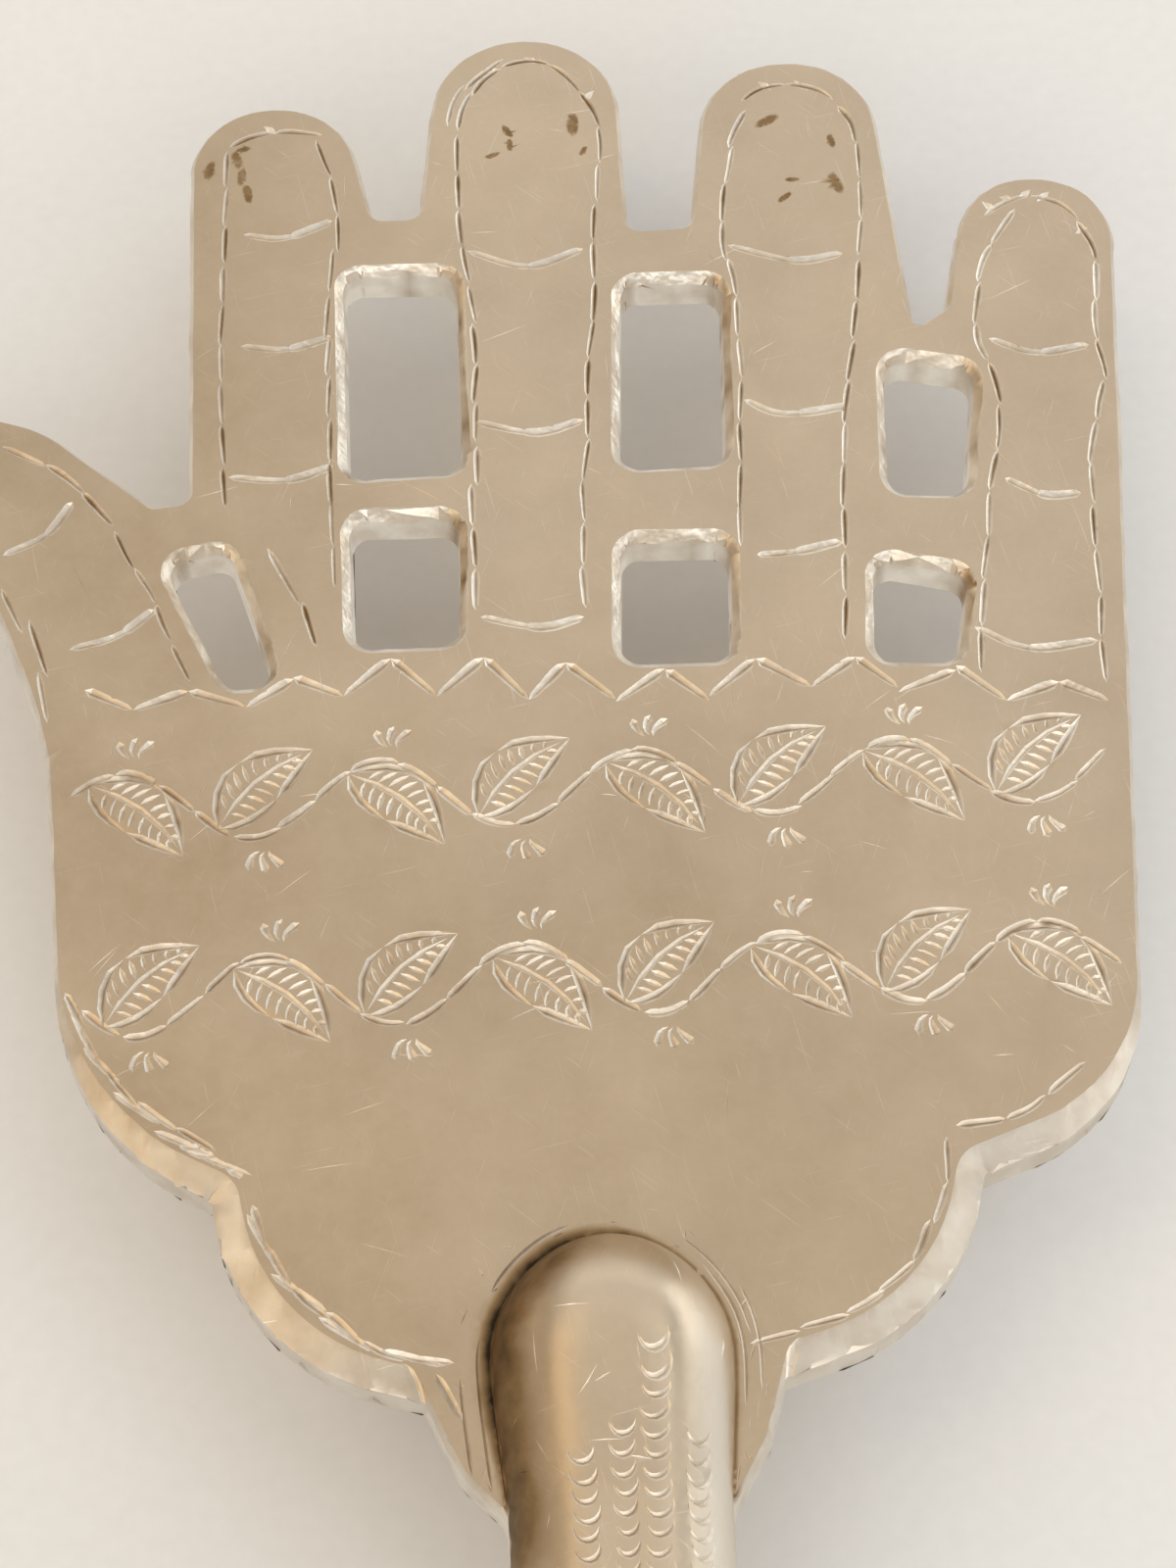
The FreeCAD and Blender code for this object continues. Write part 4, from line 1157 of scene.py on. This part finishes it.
# %% Sweep round wires
def sweep_ring(shape, centre, major, wire, coil=0.0, turns=0, start=0.0, steps=180, sides=10):
    """Adds a closed tube round the Y axis through a centre; the coil winds it as it goes."""
    rings = []
    for i in range(steps):
        round_angle = 2 * math.pi * i / steps
        coil_angle = turns * round_angle + start
        outward = Vector((math.sin(round_angle), 0, math.cos(round_angle)))
        middle = (centre + outward * (major + coil * math.cos(coil_angle))
                  + Vector((0, coil * math.sin(coil_angle), 0)))
        ring = []
        for j in range(sides):
            side = 2 * math.pi * j / sides
            offset = outward * math.cos(side) + Vector((0, math.sin(side), 0))
            ring.append(shape.verts.new(middle + offset * wire))
        rings.append(ring)
    for i in range(steps):
        first, second = rings[i], rings[(i + 1) % steps]
        for j in range(sides):
            k = (j + 1) % sides
            shape.faces.new((first[j], second[j], second[k], first[k]))


def twisted_ring(name, node):
    """Two strands wound into the space of a wire ring's solid."""
    low, high = (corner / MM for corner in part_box(node))
    wire = (high.y - low.y) / 4
    major = (high.z - low.z) / 2 - 2 * wire
    middle = Vector((0, (low.y + high.y) / 2, (low.z + high.z) / 2))
    shape = bmesh.new()
    turns = round(2 * math.pi * major / (wire * 4.2))
    for start in (0.0, math.pi):
        sweep_ring(shape, middle, major, wire * 0.98, wire, turns, start)
    dark = shape.verts.layers.float.new("tarnish_and_shade")
    for vertex in shape.verts:
        away = math.hypot(vertex.co.x, vertex.co.z - middle.z) - major
        vertex[dark] = max(0.0, 0.55 - away / wire)
    bmesh.ops.recalc_face_normals(shape, faces=shape.faces)
    return finished_piece(name, to_mesh(shape, name), wire_silver, "pointer",
                          [node], 50.0)


for node in ("stem_wire", "handle_front_wire", "handle_rear_wire"):
    twisted = twisted_ring("twisted_" + node, node)
    print(twisted.name, len(twisted.data.polygons), "faces")

# %% The loose ring
RING_WIRE = 0.6             # half the thickness of the ring's wire
ring_joint = next(joint for joint in frame["joints"] if joint["name"] == "ring_swing")
hinge = Vector(ring_joint["pos_m"]) / MM
ring_low, ring_high = (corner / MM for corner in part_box("suspension_ring"))
ring_radius = (ring_high.x - ring_low.x) / 2 - RING_WIRE
droop = math.asin((hinge.z - RING_WIRE / math.cos(math.pi / 8)) / (2 * ring_radius))
ring_shape = bmesh.new()
sweep_ring(ring_shape, Vector((0, 0, ring_radius)), ring_radius, RING_WIRE, steps=96, sides=16)
lean = Matrix.Rotation(math.pi / 2 + droop, 4, "X")
bmesh.ops.transform(ring_shape, matrix=Matrix.Translation(hinge) @ lean, verts=ring_shape.verts)
bmesh.ops.recalc_face_normals(ring_shape, faces=ring_shape.faces)
loose_ring = finished_piece("loose_ring", to_mesh(ring_shape, "loose_ring"), wire_silver,
                            "ring", ["suspension_ring"], 50.0)
print(f"{loose_ring.name} of radius {ring_radius:.2f} mm leans {math.degrees(droop):.1f} degrees")

# %% [markdown]
# ## Knops, collars and tube
# These solids are right in shape, but edges on real silver are never razor sharp. A bevel on a
# copy of each solid rounds the edges a little, and they then catch a thin line of light, which is
# what makes a metal edge look real.

# %% Soften the edges of the plain parts
SHARP_DEGREES = 20          # edges from this angle on are rounded
STRIP_SHARE = 0.6           # faces narrower than this share of the bevel are its worn strips
# The parts, and how wide their edges are rounded in millimetres.
SOFT_PARTS = {
    "stem_collar": 0.12, "upper_knop_front": 0.14, "upper_knop_rear": 0.14,
    "handle_front_collar": 0.14, "handle_tube": 0.35, "handle_band": 0.14,
    "handle_rear_collar": 0.14, "end_knop_front": 0.14, "end_knop_rear": 0.14,
    "finial_cap": 0.12, "eye": 0.1,
}
for node, width in SOFT_PARTS.items():
    shape = bmesh.new()
    shape.from_mesh(frame["nodes"][node].data)
    bmesh.ops.remove_doubles(shape, verts=shape.verts, dist=1e-7)
    bmesh.ops.dissolve_limit(shape, angle_limit=math.radians(0.5), verts=shape.verts,
                             edges=shape.edges)
    edges = [e for e in shape.edges
             if e.is_manifold and e.calc_face_angle() > math.radians(SHARP_DEGREES)]
    bmesh.ops.bevel(shape, geom=edges, offset=width * MM, segments=3, affect="EDGES",
                    profile=0.5, clamp_overlap=True)
    polish_and_highlight_layer = shape.faces.layers.float.new("polish_and_highlight")
    for face in shape.faces:
        if min(edge.calc_length() for edge in face.edges) < STRIP_SHARE * width * MM:
            face[polish_and_highlight_layer] = FILED_POLISH
    mesh = bpy.data.meshes.new("soft_" + node)
    shape.to_mesh(mesh)
    shape.free()
    material = wire_silver if node == "eye" else handle_silver
    finished_piece("soft_" + node, mesh, material, "pointer", [node], 30.0)
    print(node, "now has", len(mesh.polygons), "faces")

rod = frame["nodes"]["core_rod"]
rod.data.materials.clear()
rod.data.materials.append(handle_silver)

# %% [markdown]
# ## Floor and light
# Metal has hardly any look of its own: it shows what stands round it. Large soft panels are
# placed where each kind of facet looks for its reflection. One above and beyond the fingertips
# fills the flat face, and three low in front light the facets that slope towards the handle. Two
# on the right give pale edges, two warm ones on the left leave those sides golden, and one far
# beyond lights the backs of the knops. The floor and the air behind it are pale to the camera and
# in the metal, and that adds no light: it is done with the kind of ray that meets them.

# %% Lay the floor
SPAN = 1.5                  # half the floor's side, in metres
FADE_FROM, FADE_TO = 0.2, 0.55      # metres from the middle, where the floor turns plain pale
METAL_SHARE = 0.92          # of the pale shader in the floor that the metal shows
floor_mesh = bpy.data.meshes.new("floor")
floor_mesh.from_pydata([(-SPAN, -SPAN, 0), (SPAN, -SPAN, 0), (SPAN, SPAN, 0), (-SPAN, SPAN, 0)], [],
                       [(0, 1, 2, 3)])
floor = bpy.data.objects.new("floor", floor_mesh)
bpy.context.scene.collection.objects.link(floor)
paper = bpy.data.materials.new("pale_floor")
paper.use_nodes = True
tree = paper.node_tree
surface = tree.nodes["Principled BSDF"]
surface.inputs["Roughness"].default_value = 0.9
surface.inputs["Specular IOR Level"].default_value = 0.1
place = tree.nodes.new("ShaderNodeTexCoord").outputs["Object"]
paper_colour = mix_colour(tree, cloud(tree, place, 1800.0), (0.80, 0.79, 0.77), (0.86, 0.85, 0.83))
tree.links.new(paper_colour, surface.inputs["Base Color"])
bright_paper = add_node(tree, "ShaderNodeEmission", Strength=0.9)
tree.links.new(paper_colour, bright_paper.inputs["Color"])
rays = tree.nodes.new("ShaderNodeLightPath")
radius = tree.nodes.new("ShaderNodeVectorMath")
radius.operation = "LENGTH"
tree.links.new(place, radius.inputs[0])
far_off = band(tree, radius.outputs["Value"], FADE_FROM, FADE_TO, 0.0, 1.0)
far_off = combine(tree, "MULTIPLY", far_off, rays.outputs["Is Camera Ray"])
in_metal = combine(tree, "MULTIPLY", rays.outputs["Is Glossy Ray"], METAL_SHARE)
mix_shaders(tree, combine(tree, "MAXIMUM", in_metal, far_off), surface.outputs["BSDF"],
            bright_paper.outputs["Emission"], "Material Output")
floor_mesh.materials.append(paper)
print(f"floor of {2 * SPAN:.0f} m, plain pale from {FADE_TO} m outwards")

# %% Hang the lights
def panel(name, tilt, swing, distance_mm, size_mm, radiance, colour):
    """A soft square panel, tilt degrees from straight up, swung round from the fingertips."""
    lamp = bpy.data.lights.new(name, "AREA")
    lamp.shape = "RECTANGLE"
    lamp.size, lamp.size_y = size_mm[0] * MM, size_mm[1] * MM
    lamp.energy = radiance * math.pi * lamp.size * lamp.size_y
    lamp.color = colour
    tilt, swing = math.radians(tilt), math.radians(swing)
    way = Vector((math.sin(tilt) * math.sin(swing), math.sin(tilt) * math.cos(swing),
                  math.cos(tilt)))
    holder = bpy.data.objects.new(name, lamp)
    holder.location = on_face(0, 20) + way * distance_mm * MM
    holder.rotation_euler = way.to_track_quat("Z", "Y").to_euler()
    holder.visible_camera = False
    bpy.context.scene.collection.objects.link(holder)


# Each panel: tilt and swing in degrees, distance and size in millimetres, radiance and colour.
PANELS = {
    "panel_above": (31, 0, 600, (1000, 600), 0.57, (1.0, 0.975, 0.93)),
    "panel_front": (53, 180, 520, (560, 400), 1.63, (1.0, 0.98, 0.94)),
    "panel_right": (80, 62, 500, (420, 330), 1.81, (0.90, 0.96, 1.0)),
    "panel_left": (78, -62, 500, (360, 260), 0.60, (1.0, 0.76, 0.45)),
    "panel_left_high": (26, -85, 500, (160, 300), 1.45, (1.0, 0.74, 0.38)),
    "panel_right_high": (26, 85, 500, (160, 300), 0.86, (1.0, 0.99, 0.97)),
    "panel_left_front": (62, -118, 500, (330, 300), 1.55, (1.0, 0.72, 0.38)),
    "panel_right_front": (62, 118, 500, (330, 300), 1.63, (1.0, 0.99, 0.97)),
    "panel_beyond": (70, 0, 520, (600, 330), 0.69, (1.0, 0.97, 0.92)),
}
for name, (tilt, swing, distance, size, radiance, colour) in PANELS.items():
    panel(name, tilt, swing, distance, size, radiance, colour)
print(len(PANELS), "panels of light")

# %% Fill the air
world = bpy.data.worlds.new("studio")
bpy.context.scene.world = world
world.use_nodes = True
air = world.node_tree
soft_light = air.nodes["Background"]
soft_light.inputs["Color"].default_value = (0.93, 0.95, 1.0, 1.0)
soft_light.inputs["Strength"].default_value = 0.32
backdrop = add_node(air, "ShaderNodeBackground", Strength=0.9)
backdrop.inputs["Color"].default_value = (0.83, 0.82, 0.80, 1.0)
seen_directly = air.nodes.new("ShaderNodeLightPath").outputs["Is Camera Ray"]
mix_shaders(air, seen_directly, soft_light.outputs["Background"],
            backdrop.outputs["Background"], "World Output")
bpy.context.scene.view_settings.view_transform = "Standard"

# %% Finish
bpy.context.view_layer.update()
